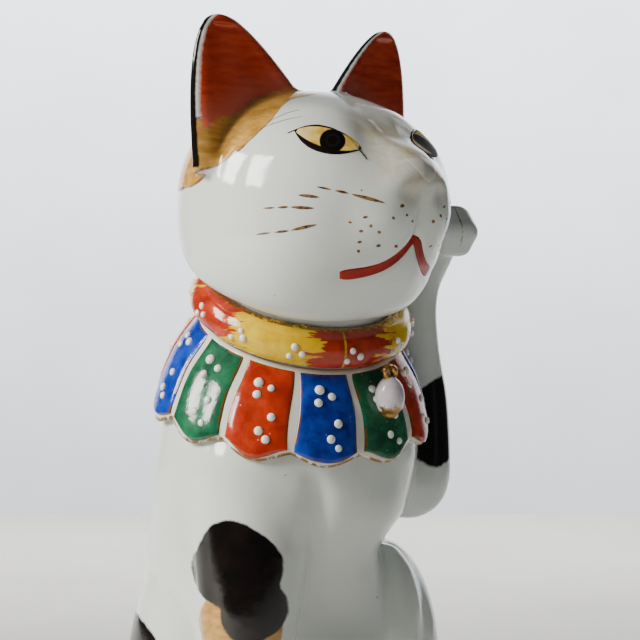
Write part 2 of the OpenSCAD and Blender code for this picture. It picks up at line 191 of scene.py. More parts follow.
def oval_distance(x, y, half_x, half_y):
    """Near enough the distance to an oval, in the plane of its two half widths."""
    k0 = np.hypot(x / half_x, y / half_y)
    k1 = np.hypot(x / half_x ** 2, y / half_y ** 2)
    return k0 * (k0 - 1) / np.maximum(k1, 1e-6)


def field_torso(p):
    """Distance from the stack of rings. Each point first finds the ring whose plane it lies in."""
    t = np.interp(p[..., 2], BODY_RINGS[:11, 0], np.arange(11.0))
    table = ring_at(np.linspace(0, 11.8, 237))
    for _ in range(5):
        r = [np.interp(t, np.linspace(0, 11.8, 237), table[:, k]) for k in range(6)]
        tilt = np.radians(r[5])
        off = (p[..., 2] - r[0]) * np.cos(tilt) - (p[..., 1] - r[4]) * np.sin(tilt)
        t = np.clip(t + off / 16, 0, 11.8)
    across = (p[..., 1] - r[4]) * np.cos(tilt) + (p[..., 2] - r[0]) * np.sin(tilt)
    turn = np.degrees(np.arctan2((p[..., 0] - r[3]) / r[1], -across / r[2]))
    return oval_distance(p[..., 0] - r[3], across, r[1], r[2]) - body_relief(t, turn)


def body_relief(t, turn):
    """What the modeller's tool added and took away, in mm, by ring number and angle."""
    cleft = np.interp(t, [2.8, 3.5, 4.1, 4.8, 6.0, 6.4], [-19, -13, -8, -8, -10, -13])
    groove = np.interp(t, [2.4, 3.4, 4.4, 5.6, 6.5], [0.5, 1.6, 3.2, 3.0, 0.6])
    return (-groove * np.exp(-((turn - cleft) / 5.5) ** 2)
            + 2.6 * np.exp(-((turn - 20) / 19) ** 2 - ((t - 5.1) / 0.75) ** 2)
            - 4.5 * np.exp(-((turn - 12) / 20) ** 2 - ((t - 3.15) / 0.62) ** 2)
            - 5.5 * np.exp(-((turn - 60) / 20) ** 2 - ((t - 4.1) / 0.42) ** 2)
            + 1.6 * np.exp(-((turn + 38) / 22) ** 2 - ((t - 4.6) / 1.3) ** 2))


def field_egg(p, centre, semi):
    q, semi = p - np.array(centre, float), np.array(semi, float)
    k0 = np.linalg.norm(q / semi, axis=-1)
    k1 = np.linalg.norm(q / semi ** 2, axis=-1)
    return k0 * (k0 - 1) / np.maximum(k1, 1e-6)


def field_limb(p, rows):
    """Chain of tapering rods through rows of x, y, z, radius."""
    out = None
    for a, b in zip(rows[:-1], rows[1:]):
        a, b = np.array(a, float), np.array(b, float)
        line = b[:3] - a[:3]
        h = np.clip(((p - a[:3]) @ line) / (line @ line), 0, 1)
        d = np.linalg.norm(p - a[:3] - h[..., None] * line, axis=-1) - (a[3] + h * (b[3] - a[3]))
        out = d if out is None else np.minimum(out, d)
    return out


def near(p, rows, reach, field, *rest):
    """The field only where it can matter, and a safe distance elsewhere. It saves time."""
    rows = np.array(rows, float)
    low, high = rows[:, :3].min(0) - reach, rows[:, :3].max(0) + reach
    inside = ((p > low) & (p < high)).all(-1)
    out = np.full(p.shape[:-1], 30.0)
    if inside.any():
        out[inside] = field(p[inside], *rest)
    return out


print("fields ready")

# %% [markdown]
# The limbs follow the CAD ones. The standing foreleg is broad at the shoulder and narrows to the
# paw. The raised arm leaves the side low down, turns at the elbow and rises beside the cheek.

# %% Limbs of the body
ARM = np.array([[36, 6, 118, 14], [42, 2, 109, 14], [50.5, -2, 102, 12.6], [53, 0, 118, 11.4],
                [54.5, 3, 135, 10.3], [53, 3, 145, 9.6], [52, 3, 155, 9.2], [51.5, 3, 166, 8.8],
                [53, 3, 177, 8.7], [57, 2, 186, 9.0], [60.2, 0.5, 193, 8.6]], float)
for _ in range(3):  # round the corners of the path, as slip does
    cut_corners = np.stack([0.75 * ARM[:-1] + 0.25 * ARM[1:], 0.25 * ARM[:-1] + 0.75 * ARM[1:]], 1)
    ARM = np.concatenate([ARM[:1], cut_corners.reshape(-1, 4), ARM[-1:]])
TAIL = [[-14 + 42 * f - 16 * f * f, 62 + 4 * math.sin(math.pi * f), 12 + 40 * f * f, 9.5 - 3 * f]
        for f in np.linspace(0, 1, 13)]


def hind_paw(side):
    return [[side * (41 - 5 * f), 2 - 38 * f, 9 + 1.5 * math.sin(math.pi * f),
             8.6 + 1.6 * math.sin(math.pi * f)] for f in np.linspace(0, 1, 7)]


def field_foreleg(p):
    """A post whose middle line leans forward and whose radius shrinks steadily to the paw."""
    f = np.clip((112 - p[..., 2]) / 92, 0, 1)
    line = np.stack([-19 - 11 * f, -16 - 14 * np.sin(np.pi / 2 * f), 112 - 92 * f], -1)
    return np.linalg.norm(p - line, axis=-1) - (23 - 12.5 * f)


def field_body(p):
    d = field_torso(p)
    d = soft_join(d, field_egg(p, (43, 9, 42), (16.5, 30, 41)), 4)
    d = soft_join(d, field_egg(p, (35, -9, 53), (12.5, 16, 31)), 3)
    d = soft_join(d, field_egg(p, (-38, 13, 38), (12.8, 26, 36)), 5)
    d = soft_join(d, near(p, [[-30, -30, 20], [-19, -16, 112]], 34, field_foreleg), 4.5)
    for side in (1, -1):
        rows = hind_paw(side)
        d = soft_join(d, near(p, rows, 20, field_limb, rows), 4)
        for k in (-1, 0, 1):
            toe = [[side * 36 + 6.2 * k, -31, 7.5, 6], [side * 36 + 6.4 * k, -37 + abs(k), 6.4, 5.2]]
            d = soft_join(d, near(p, toe, 12, field_limb, toe), 1.6)
    paw = [[-30, -31, 12, 12], [-30, -44, 10, 10.4]]
    d = soft_join(d, near(p, paw, 22, field_limb, paw), 4)
    for k in (-1.5, -0.5, 0.5, 1.5):
        toe = [[-30 + 5.4 * k, -42, 8.5, 6.6], [-30 + 5.8 * k, -51.5 + 0.9 * k * k, 6.6, 5.4]]
        d = soft_join(d, near(p, toe, 14, field_limb, toe), 1.6)
    d = soft_join(d, near(p, TAIL, 20, field_limb, TAIL), 4)
    d = soft_join(d, near(p, ARM, 24, field_limb, ARM), 4)
    for k in (-1, 0, 1):
        toe = [[59.5 + 3.4 * k, 0, 198.5, 6.0], [60.5 + 4.2 * k, -6.5, 198.5, 5.6],
               [60.9 + 4.4 * k, -11.0, 194.5, 5.0], [60.4 + 4.0 * k, -9.5, 190.0, 4.2]]
        d = soft_join(d, near(p, toe, 12, field_limb, toe), 1.8)
    neck_area = (np.abs(p[..., 0]) < 45) & (p[..., 2] > 140)
    d = np.where(neck_area, soft_cut(d, 1.0 - above_neck(p), 1.0), d)
    well = np.maximum(np.hypot(p[..., 0] + 1, p[..., 1] - 15) - 38.7, p[..., 2] - 7)
    return np.maximum(np.maximum(d, -p[..., 2]), -well)


print("rows of arm and tail:", len(ARM), len(TAIL))

# %% [markdown]
# An ear is a flat leaf with a scooped front. Both ears share one recipe in the head's own
# directions, mirrored from side to side.

# %% Ears and the whole head
EAR_TOP = 62.5


def ear_frame(q, side):
    """How far up the ear a point is (0 to 1), its place across and through the leaf, and its
    height over the tip. The leaf is swept back towards its outer edge."""
    f = np.clip((q[..., 2] - 14) / (EAR_TOP - 14), 0, 1)
    across = q[..., 0] * side - (18.2 + 20.1 * f)
    through = q[..., 1] - (-2 + 3.1 * f) - 0.14 * across
    return f, across, through, q[..., 2] - EAR_TOP


def ear_width(f):
    return 29 * (1 - f) ** 0.55 + 0.8


def ear_depth(f):
    return 6.0 * (1 - f) ** 0.8 + 1.5


def field_ear(q, side):
    f, across, through, over = ear_frame(q, side)
    wide, deep = ear_width(f), ear_depth(f)
    leaf = oval_distance(across, through, wide, deep)
    leaf = -soft_join(-leaf, -over, 2.0)
    leaf = np.maximum(leaf, 10 - q[..., 2])
    scoop_wide, scoop_deep = np.maximum(wide - 2.4, 0.3), 5.4 * (1 - f) ** 0.8 + 0.9
    scoop = oval_distance(across, through + 0.95 * deep, scoop_wide, scoop_deep)
    scoop = np.maximum(scoop, over + 3.5)
    return soft_cut(leaf, scoop, 1.2)


def field_head(p):
    az, el, n, q = head_angles(p)
    d = (n - head_reach(az, el)) * 0.9
    for side in (1, -1):
        d = soft_join(d, field_ear(q, side), 2.4)
    foot = above_neck(p)
    deep = ((p[..., 1] - NECK_POINT[1]) * math.cos(NECK_TILT)
            + (p[..., 2] - NECK_POINT[2]) * math.sin(NECK_TILT))
    ring = np.hypot(p[..., 0] - NECK_POINT[0], deep) - 30
    neck = np.maximum(ring, foot - 14)
    d = soft_join(d, neck, 2.0)
    return np.maximum(d, 1.1 - foot)


print("ear height over the head centre mm:", EAR_TOP)

# %% [markdown]
# To turn a field into a skin, the space is cut into small cubes. Every cube that the surface
# crosses gets one point at the mean of its crossings, and neighbouring points are joined into
# quads. A few Newton steps then pull the points exactly onto the surface, so that the glaze
# reflects without any steps.

# %% Skin from a field
def field_on_grid(field, low, high, step):
    axes = [np.arange(a, b + step, step) for a, b in zip(low, high)]
    values = np.empty([len(a) for a in axes], np.float32)
    for i in range(0, len(axes[0]), 24):
        grid = np.stack(np.meshgrid(axes[0][i:i + 24], axes[1], axes[2], indexing="ij"), -1)
        values[i:i + 24] = field(grid)
    return values, np.array([a[0] for a in axes])


def skin_from_field(field, low, high, step, pulls=3):
    v, start = field_on_grid(field, low, high, step)
    shape = np.array(v.shape) - 1
    total, count = np.zeros((*shape, 3), np.float32), np.zeros(shape, np.float32)
    cuts = []
    for axis in range(3):
        here = [slice(None)] * 3
        there = [slice(None)] * 3
        here[axis], there[axis] = slice(0, -1), slice(1, None)
        a, b = v[tuple(here)], v[tuple(there)]
        cut = (a < 0) != (b < 0)
        cuts.append((cut, a < 0))
        with np.errstate(divide="ignore", invalid="ignore"):
            where = np.where(cut, a / (a - b), 0.0)
        others = [k for k in range(3) if k != axis]
        for i in (0, 1):
            for j in (0, 1):
                pick = [slice(None)] * 3
                pick[others[0]] = slice(i, i + shape[others[0]])
                pick[others[1]] = slice(j, j + shape[others[1]])
                c, w = cut[tuple(pick)], where[tuple(pick)]
                count += c
                total[..., axis] += w
                total[..., others[0]] += c * i
                total[..., others[1]] += c * j
    used = count > 0
    number = np.full(shape, -1)
    number[used] = np.arange(used.sum())
    points = (np.argwhere(used) + total[used] / count[used][:, None]) * step + start
    quads = []
    for axis in range(3):
        cut, inside = cuts[axis]
        u, w = (axis + 1) % 3, (axis + 2) % 3
        at = np.argwhere(cut)
        at = at[(at[:, u] > 0) & (at[:, w] > 0) & (at[:, u] < shape[u]) & (at[:, w] < shape[w])]
        flip = ~inside[tuple(at.T)]
        corner = []
        for du, dw in ((-1, -1), (0, -1), (0, 0), (-1, 0)):
            c = at.copy()
            c[:, u] += du
            c[:, w] += dw
            corner.append(number[tuple(c.T)])
        q = np.stack(corner, -1)
        q[flip] = q[flip][:, ::-1]
        quads.append(q)
    quads = np.concatenate(quads)
    for _ in range(pulls):
        d, e = field(points), 0.05
        slope = np.stack([field(points + e * np.eye(3)[k]) - d for k in range(3)], -1) / e
        move = -d[:, None] * slope / np.maximum((slope ** 2).sum(-1, keepdims=True), 0.25)
        points = points + np.clip(move, -step / 2, step / 2)
    return points, quads


def mesh_piece(name, points, faces, smooth=True):
    """A mesh object at the origin, from points in mm."""
    mesh = bpy.data.meshes.new(name)
    mesh.from_pydata((np.asarray(points, float) * MM).tolist(), [], np.asarray(faces).tolist()
                     if isinstance(faces, np.ndarray) else faces)
    mesh.validate()
    mesh.polygons.foreach_set("use_smooth", [smooth] * len(mesh.polygons))
    mesh.update()
    made = bpy.data.objects.new(name, mesh)
    bpy.context.scene.collection.objects.link(made)
    return made


def paint_layer(piece, name, values):
    """Store one number per point, for the material to read."""
    layer = piece.data.attributes.new(name, "FLOAT", "POINT")
    layer.data.foreach_set("value", np.asarray(values, np.float32))


BODY_STEP, HEAD_STEP = ((1.3, 0.9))
body_points, body_quads = skin_from_field(field_body, (-66, -66, -3), (80, 82, 210), BODY_STEP)
body_skin = mesh_piece("body_skin", body_points, body_quads)
head_points, head_quads = skin_from_field(field_head, (-58, -80, 155), (58, 42, 274), HEAD_STEP)
head_skin = mesh_piece("head_skin", head_points, head_quads)
print("body quads", len(body_quads), "head quads", len(head_quads))

# %% [markdown]
# Each coloured area on the white glaze is stored on the skin as a distance to its edge in
# millimetres, negative inside. The material then decides how crisp or brushed that edge looks.

# %% Edges of the painted areas on the head
TAN_EDGE_AZ = [30, 37, 56, 59, 62, 69, 74, 84, 92, 102, 128]
TAN_EDGE_EL = [66, 63, 55, 47, 37, 28, 23, 17, 12, 8, 6]
NO_PAINT = 20.0  # mm: further from an edge than any brush reaches

az, el, reach, local = head_angles(head_points)
tan_edge = np.where(az < 0, (np.interp(np.abs(az), TAN_EDGE_AZ, TAN_EDGE_EL) - el) * 0.72, NO_PAINT)
tan_edge = np.maximum(tan_edge, (np.abs(az) - 126) * 0.7)
proud = reach - head_reach(az, el)
ear_foot, inner_edge, back_edge = np.full((3, len(az)), NO_PAINT)
for side in (1, -1):
    f, across, through, _ = ear_frame(local, side)
    on_ear = field_ear(local, side) < 2.2
    this_ear = on_ear & (local[:, 0] * side > 0)
    rim = np.abs(across) - (ear_width(f) - 1.7)
    front = through < 0.35 * ear_depth(f)
    face = np.where(front, rim, NO_PAINT)
    foot = (32.6 - 0.34 * across - local[:, 2]) * 0.9
    inner = np.maximum(np.maximum(face, foot), -(proud - 0.6) * 0.8)
    ear_foot = np.where(this_ear, -foot, ear_foot)
    up_the_ear = np.minimum((proud - 2.2) * 1.5, -3.0 - foot)
    tan_edge = np.where(on_ear, np.maximum(tan_edge, up_the_ear), tan_edge)
    inner_edge = np.where(this_ear, np.minimum(inner_edge, inner), inner_edge)
    back = np.where(front, -(rim - 0.9), -6.0)
    back = np.maximum(back, (8 + (np.abs(az) < 100) * 6 - el) * 0.7)
    back = np.maximum(back, -(proud - 0.8) * 0.8)
    back_edge = np.where(this_ear, np.minimum(back_edge, back), back_edge)
stain = 1.5 * hill(az, el, -2, 27, 15, 13) + 0.7 * hill(az, el, 0, 8, 10, 7)
for key, value in (("tan_edge", tan_edge), ("ear_red", inner_edge), ("ear_black", back_edge),
                   ("stain", stain), ("ear_foot", ear_foot)):
    paint_layer(head_skin, key, value)
print("points with red:", int((inner_edge < 0).sum()), "tan:", int((tan_edge < 0).sum()))

# %% Edges of the painted areas on the body
VIEW_TURN = math.radians(25)
TO_RIGHT = np.array([math.cos(VIEW_TURN), -math.sin(VIEW_TURN), 0])
TO_VIEWER = np.array([-math.sin(VIEW_TURN), -math.cos(VIEW_TURN), 0])
FROM_BEHIND = {"across": np.array([-1.0, 0, 0]), "facing": np.array([0, 1.0, 0])}


def blot(p, middle, half, lobes, slant=0.0, across=TO_RIGHT, facing=TO_VIEWER, depth=0.0):
    """Distance to a hand-painted blot, wavy with a few lobes, on the side that faces out."""
    u, v = p @ across - middle[0], p[..., 2] - middle[1]
    s = math.radians(slant)
    u, v = u * math.cos(s) + v * math.sin(s), v * math.cos(s) - u * math.sin(s)
    turn = np.arctan2(v / half[1], u / half[0])
    size = 1 + sum(w * np.cos(n * (turn - math.radians(at))) for n, w, at in lobes)
    gone_round = np.maximum(depth + 14 - p @ facing, 0) / 14
    r = np.sqrt((u / half[0]) ** 2 + (v / half[1]) ** 2 + gone_round ** 2)
    return (r / size - 1) * min(half)


foreleg_black = blot(body_points, (-15.5, 84.0), (15.4, 14.6), [(3, 0.05, 95), (4, 0.04, 20)], depth=8)
foreleg_low = blot(body_points, (-9.8, 70.5), (11.3, 11.0), [(3, 0.05, 0)], depth=8)
haunch_black = blot(body_points, (-51, 45), (10.5, 17), [(3, 0.06, 0)], 15, depth=-30)
arm_black = blot(body_points, (56, 128), (11, 19), [(2, 0.1, 20), (3, 0.06, 60)], -18, depth=-40)
arm_black = np.maximum(arm_black, 44 - body_points[:, 0])
rump_black = blot(body_points, (8, 60), (26, 30), [(2, 0.08, 40), (5, 0.05, 0)], 20, depth=30, **FROM_BEHIND)
black_edge = np.min([foreleg_black, foreleg_low, haunch_black, arm_black, rump_black], axis=0)
foreleg_tan = blot(body_points, (-14.5, 61.5), (14, 16), [(3, 0.06, 30)], -10, depth=8)
flank_tan = blot(body_points, (-34, 95), (16, 13), [(3, 0.08, 10)], 10, depth=10, **FROM_BEHIND)
paint_layer(body_skin, "black_edge", black_edge)
paint_layer(body_skin, "tan_edge", np.minimum(foreleg_tan, flank_tan))
toe_x, toe_y, toe_z = body_points.T
toe_line = np.min([np.abs(toe_x - gap - 0.1 * (toe_y + 8)) for gap in (58.3, 62.6)], axis=0) - 0.35
toe_line = np.where((toe_z > 189.5) & (toe_y < -4), toe_line, NO_PAINT)
paint_layer(body_skin, "toe_line", toe_line)
print("points with black:", int((black_edge < 0).sum()))

# %% [markdown]
# Enamels are coloured glass, laid on the white glaze and fired again, so they sit a little proud
# and have soft edges. A pad of enamel is built as a closed cushion: a grid that follows the skin
# underneath, and a second grid above it that swells in the middle and comes down at the rim.

# %% Pads of enamel that follow a skin
def closed_pad(name, top, low, mirrored=False):
    """Join two grids of points, one above the other, into one closed piece."""
    n, m = top.shape[:2]
    index = np.arange(n * m).reshape(n, m)
    quads = np.stack([index[:-1, :-1], index[:-1, 1:], index[1:, 1:], index[1:, :-1]], -1).reshape(-1, 4)
    rim = np.concatenate([index[0, :-1], index[:-1, -1], index[-1, :0:-1], index[:0:-1, 0]])
    after = np.roll(rim, -1)
    walls = np.stack([rim, rim + n * m, after + n * m, after], -1)
    faces = np.concatenate([quads, quads[:, ::-1] + n * m, walls])
    points = np.concatenate([top.reshape(-1, 3), low.reshape(-1, 3)])
    return mesh_piece(name, points, faces[:, ::-1] if mirrored else faces)


def paint_both_faces(piece, layers):
    """Store each layer twice, for the top and the underside of a closed pad."""
    for key, value in layers.items():
        paint_layer(piece, key, np.concatenate([value.ravel(), value.ravel()]))


def cushion(name, place, across, along, thick, swell=6.0, under=0.0):
    """place(u, v, lift) gives points for u and v from -1 to 1. The pad is thick in mm."""
    u, v = np.meshgrid(np.linspace(-1, 1, across), np.linspace(-1, 1, along))
    # rows crowd together near the rim, where the pad curves down
    u, v = np.sin(u * math.pi / 2), np.sin(v * math.pi / 2)
    rise = ((1 - np.abs(u) ** swell) * (1 - np.abs(v) ** swell)) ** 0.5
    made = closed_pad(name, place(u, v, thick * rise), place(u, v, -under - 0.02 * (1 - rise)))
    paint_both_faces(made, {"across": u, "along": v})
    return made


def wrapped_quads(n, m, rows, columns):
    """Quads over a grid of n by m points that closes on itself, for so many rows and columns."""
    i, j = np.meshgrid(np.arange(rows), np.arange(columns), indexing="ij")
    a, b = (i + 1) % n, (j + 1) % m
    return np.stack([i * m + j, a * m + j, a * m + b, i * m + b], -1).reshape(-1, 4)


def loop_piece(name, rings):
    """Closed ring-shaped mesh from rings[i][j], looped both ways."""
    n, m = rings.shape[:2]
    return mesh_piece(name, rings.reshape(-1, 3), wrapped_quads(n, m, n, m))


print("pad helper ready")

# %% [markdown]
# The collar is a modelled roll round the neck, painted in turns of red and yellow with feathered
# ends and a worn gold line along both edges. The bib below it is a ring of scalloped tabs.

# %% Collar
COLLAR_MID, COLLAR_HALF, COLLAR_OUT = 9.87, 0.64, 7.5


def wobble(angle, seed, size):
    """A small wander that closes on itself round the neck, as hand modelling leaves."""
    a = np.radians(angle)
    return size * (np.sin(3 * a + seed) + 0.6 * np.sin(7 * a + 2.1 * seed)
                   + 0.4 * np.sin(13 * a + 3.7 * seed))


angle, round_roll = np.meshgrid(np.linspace(0, 360, 289)[:-1], np.linspace(0, 360, 49)[:-1], indexing="ij")
c, s = np.cos(np.radians(round_roll)), np.sin(np.radians(round_roll))
lift = np.where(s > 0, 0.1 + (COLLAR_OUT + wobble(angle, 1.0, 0.18)) * np.abs(s) ** 0.8, 0.1)
collar_rings = on_body(COLLAR_MID - COLLAR_HALF * c + wobble(angle, 2.0, 0.012), angle, lift)
collar = loop_piece("collar_enamel", collar_rings)
paint_layer(collar, "round", angle.ravel())
paint_layer(collar, "over", (c * np.where(s > 0, 1, 0) + np.where(s > 0, 0, 1.5 * np.sign(c))).ravel())
print("collar across mm:", np.round(np.ptp(collar_rings[..., 0]), 1))

# %% Bib
PANELS, PANEL_PHASE, PANEL_STEP = 12, -8.0, 30.0
BIB_LOW, BIB_HIGH, SCALLOP = 6.62, 9.12, 0.30


def bib_edge(angle):
    between = np.radians(180 * (angle - PANEL_PHASE) / PANEL_STEP)
    return BIB_LOW + SCALLOP * (1 - np.abs(np.cos(between)) ** 1.3)


def bib_flare(t):
    """How far the cloth stands off the chest: it leans out towards its lower edge."""
    return 2.6 * np.clip((BIB_HIGH - t) / (BIB_HIGH - BIB_LOW), 0, 1.1) ** 1.6


angle, part = np.meshgrid(np.linspace(0, 360, 361)[:-1], np.arange(40), indexing="ij")
low_edge = bib_edge(angle) + wobble(angle, 4.0, 0.02)
side_t = np.where(part < 20, part / 19.0, (39 - part) / 19.0)
t = low_edge + (BIB_HIGH - low_edge) * side_t
round_edge = np.clip(side_t * 6, 0, 1) ** 0.5
lift = np.where(part < 20, bib_flare(t) + 0.35 + 1.35 * round_edge, 0.1 + 0.6 * bib_flare(t) * (side_t < 0.3))
cape_rings = on_body(t, angle, lift)
cape = loop_piece("bib_cloth", cape_rings[:, ::-1])
paint_layer(cape, "edge", (side_t * (BIB_HIGH - low_edge) * 13)[:, ::-1].ravel())
panels = []
for k in range(1, PANELS + 1):
    middle = PANEL_PHASE + (k - 1) * PANEL_STEP
    half = PANEL_STEP / 2 - 1.7

    def on_panel(u, v, lift, middle=middle, half=half):
        a = middle + half * u + 0.5 * np.sin(3 * v + k)
        low = bib_edge(middle + PANEL_STEP / 2 * u * 0.98) + 0.13 + 0.03 * np.sin(4 * u + 2.0 * k)
        t = low + (BIB_HIGH - 0.10 - low) * (v + 1) / 2
        return on_body(t, a, bib_flare(t) + 1.6 + lift)

    panels.append(cushion(f"bib_panel_{k:02d}_enamel", on_panel, 33, 41, 1.15, 5.0, 0.3))
print("panels:", len(panels), "triangles each:", 2 * len(panels[0].data.polygons))

# %% [markdown]
# The raised white dots are drops of slip. They repeat, so a small Geometry Nodes tree sets one
# drop on every marked point, turned to stand on the skin, and a little unlike its neighbours.

# %% Drops of white enamel by Geometry Nodes
def tree_node(tree, kind, links=None, **settings):
    """Add one node. links maps an input, by number or name, to an output; values sets inputs."""
    made = tree.nodes.new(kind)
    values = settings.pop("values", {})
    for key, value in settings.items():
        setattr(made, key, value)
    for key, value in values.items():
        made.inputs[key].default_value = value
    for key, source in (links or {}).items():
        tree.links.new(source, made.inputs[key])
    return made


def drop_tree():
    tree = bpy.data.node_groups.new("set_drops", "GeometryNodeTree")
    face = tree.interface
    face.new_socket("Geometry", in_out="INPUT", socket_type="NodeSocketGeometry")
    face.new_socket("Geometry", in_out="OUTPUT", socket_type="NodeSocketGeometry")
    for name, kind, value in (("Drop radius", "Float", 0.0015), ("Drop height", "Float", 0.0011),
                              ("Unevenness", "Float", 0.15), ("Seed", "Int", 4)):
        face.new_socket(name, in_out="INPUT", socket_type="NodeSocket" + kind).default_value = value
    face.new_socket("Material", in_out="INPUT", socket_type="NodeSocketMaterial")

    def node(kind, links=None, **settings):
        return tree_node(tree, kind, links, **settings)

    def stored(name, data_type):
        made = node("GeometryNodeInputNamedAttribute", data_type=data_type, values={"Name": name})
        return made.outputs["Attribute"]

    given = node("NodeGroupInput").outputs
    ball = node("GeometryNodeMeshUVSphere", values={"Segments": 16, "Rings": 9, "Radius": 1.0})
    normal, size = stored("stand", "FLOAT_VECTOR"), stored("size", "FLOAT")
    turn = node("FunctionNodeAlignRotationToVector", {"Vector": normal}, axis="Z")
    most = node("ShaderNodeMath", {0: given["Unevenness"]}, operation="ADD", values={1: 1.0})
    least = node("ShaderNodeMath", {1: given["Unevenness"]}, operation="SUBTRACT", values={0: 1.0})
    limits = {"Min": least.outputs[0], "Max": most.outputs[0], "Seed": given["Seed"]}
    chance = node("FunctionNodeRandomValue", limits, data_type="FLOAT")
    grow = node("ShaderNodeMath", {0: chance.outputs[1], 1: size}, operation="MULTIPLY")
    sides = {"X": given["Drop radius"], "Y": given["Drop radius"], "Z": given["Drop height"]}
    shape = node("ShaderNodeCombineXYZ", sides)
    scale = node("ShaderNodeVectorMath", {0: shape.outputs[0], "Scale": grow.outputs[0]}, operation="SCALE")
    put = node("GeometryNodeInstanceOnPoints", {
        "Points": given["Geometry"], "Instance": ball.outputs["Mesh"],
        "Rotation": turn.outputs["Rotation"], "Scale": scale.outputs[0]})
    real = node("GeometryNodeRealizeInstances", {"Geometry": put.outputs[0]})
    smooth = node("GeometryNodeSetShadeSmooth", {"Geometry": real.outputs[0]})
    paint = node("GeometryNodeSetMaterial", {"Geometry": smooth.outputs[0], "Material": given["Material"]})
    node("NodeGroupOutput", {"Geometry": paint.outputs[0]})
    return tree


DROPS = drop_tree()


def set_drops(name, places, normals, sizes, material, radius, height, seed):
    """Points in mm become one plain mesh of drops."""
    mesh = bpy.data.meshes.new(name + "_points")
    mesh.from_pydata((np.asarray(places) * MM).tolist(), [], [])
    layer = mesh.attributes.new("stand", "FLOAT_VECTOR", "POINT")
    layer.data.foreach_set("vector", np.asarray(normals, np.float32).ravel())
    layer = mesh.attributes.new("size", "FLOAT", "POINT")
    layer.data.foreach_set("value", np.asarray(sizes, np.float32))
    holder = bpy.data.objects.new(name + "_points", mesh)
    bpy.context.scene.collection.objects.link(holder)
    made = holder.modifiers.new("drops", "NODES")
    made.node_group = DROPS
    inputs = {s.name: s.identifier for s in DROPS.interface.items_tree if getattr(s, "in_out", "") == "INPUT"}
    for key, value in (("Drop radius", radius * MM), ("Drop height", height * MM), ("Seed", seed),
                       ("Material", material)):
        made[inputs[key]] = value
    graph = bpy.context.evaluated_depsgraph_get()
    plain = bpy.data.meshes.new_from_object(holder.evaluated_get(graph), depsgraph=graph)
    holder.modifiers.clear()
    bpy.data.objects.remove(holder)
    plain.name = name
    piece = bpy.data.objects.new(name, plain)
    bpy.context.scene.collection.objects.link(piece)
    return piece


def body_normal(t, angle):
    round_it = on_body(t, angle + 1) - on_body(t, angle - 1)
    n = np.cross(round_it, on_body(t + 0.05, angle) - on_body(t - 0.05, angle))
    return n / np.linalg.norm(n, axis=-1, keepdims=True)


print("drop tree nodes:", len(DROPS.nodes))

# %% [markdown]
# ## Finishes
# Colours are written as sRGB hex, as picked from a paint card, and one function makes them linear.
# White glaze is a clear glass coat over a white body: smooth, with an index near 1.5, very slightly
# wavy, with iron specks and a trace of age. Each enamel is the same glass with a metal oxide in it.

# %% Colour and node helpers for the finishes
def paint(hex_colour, alpha=1.0):
    parts = [int(hex_colour[i:i + 2], 16) / 255 for i in (1, 3, 5)]
    return (*[p / 12.92 if p <= 0.04045 else ((p + 0.055) / 1.055) ** 2.4 for p in parts], alpha)


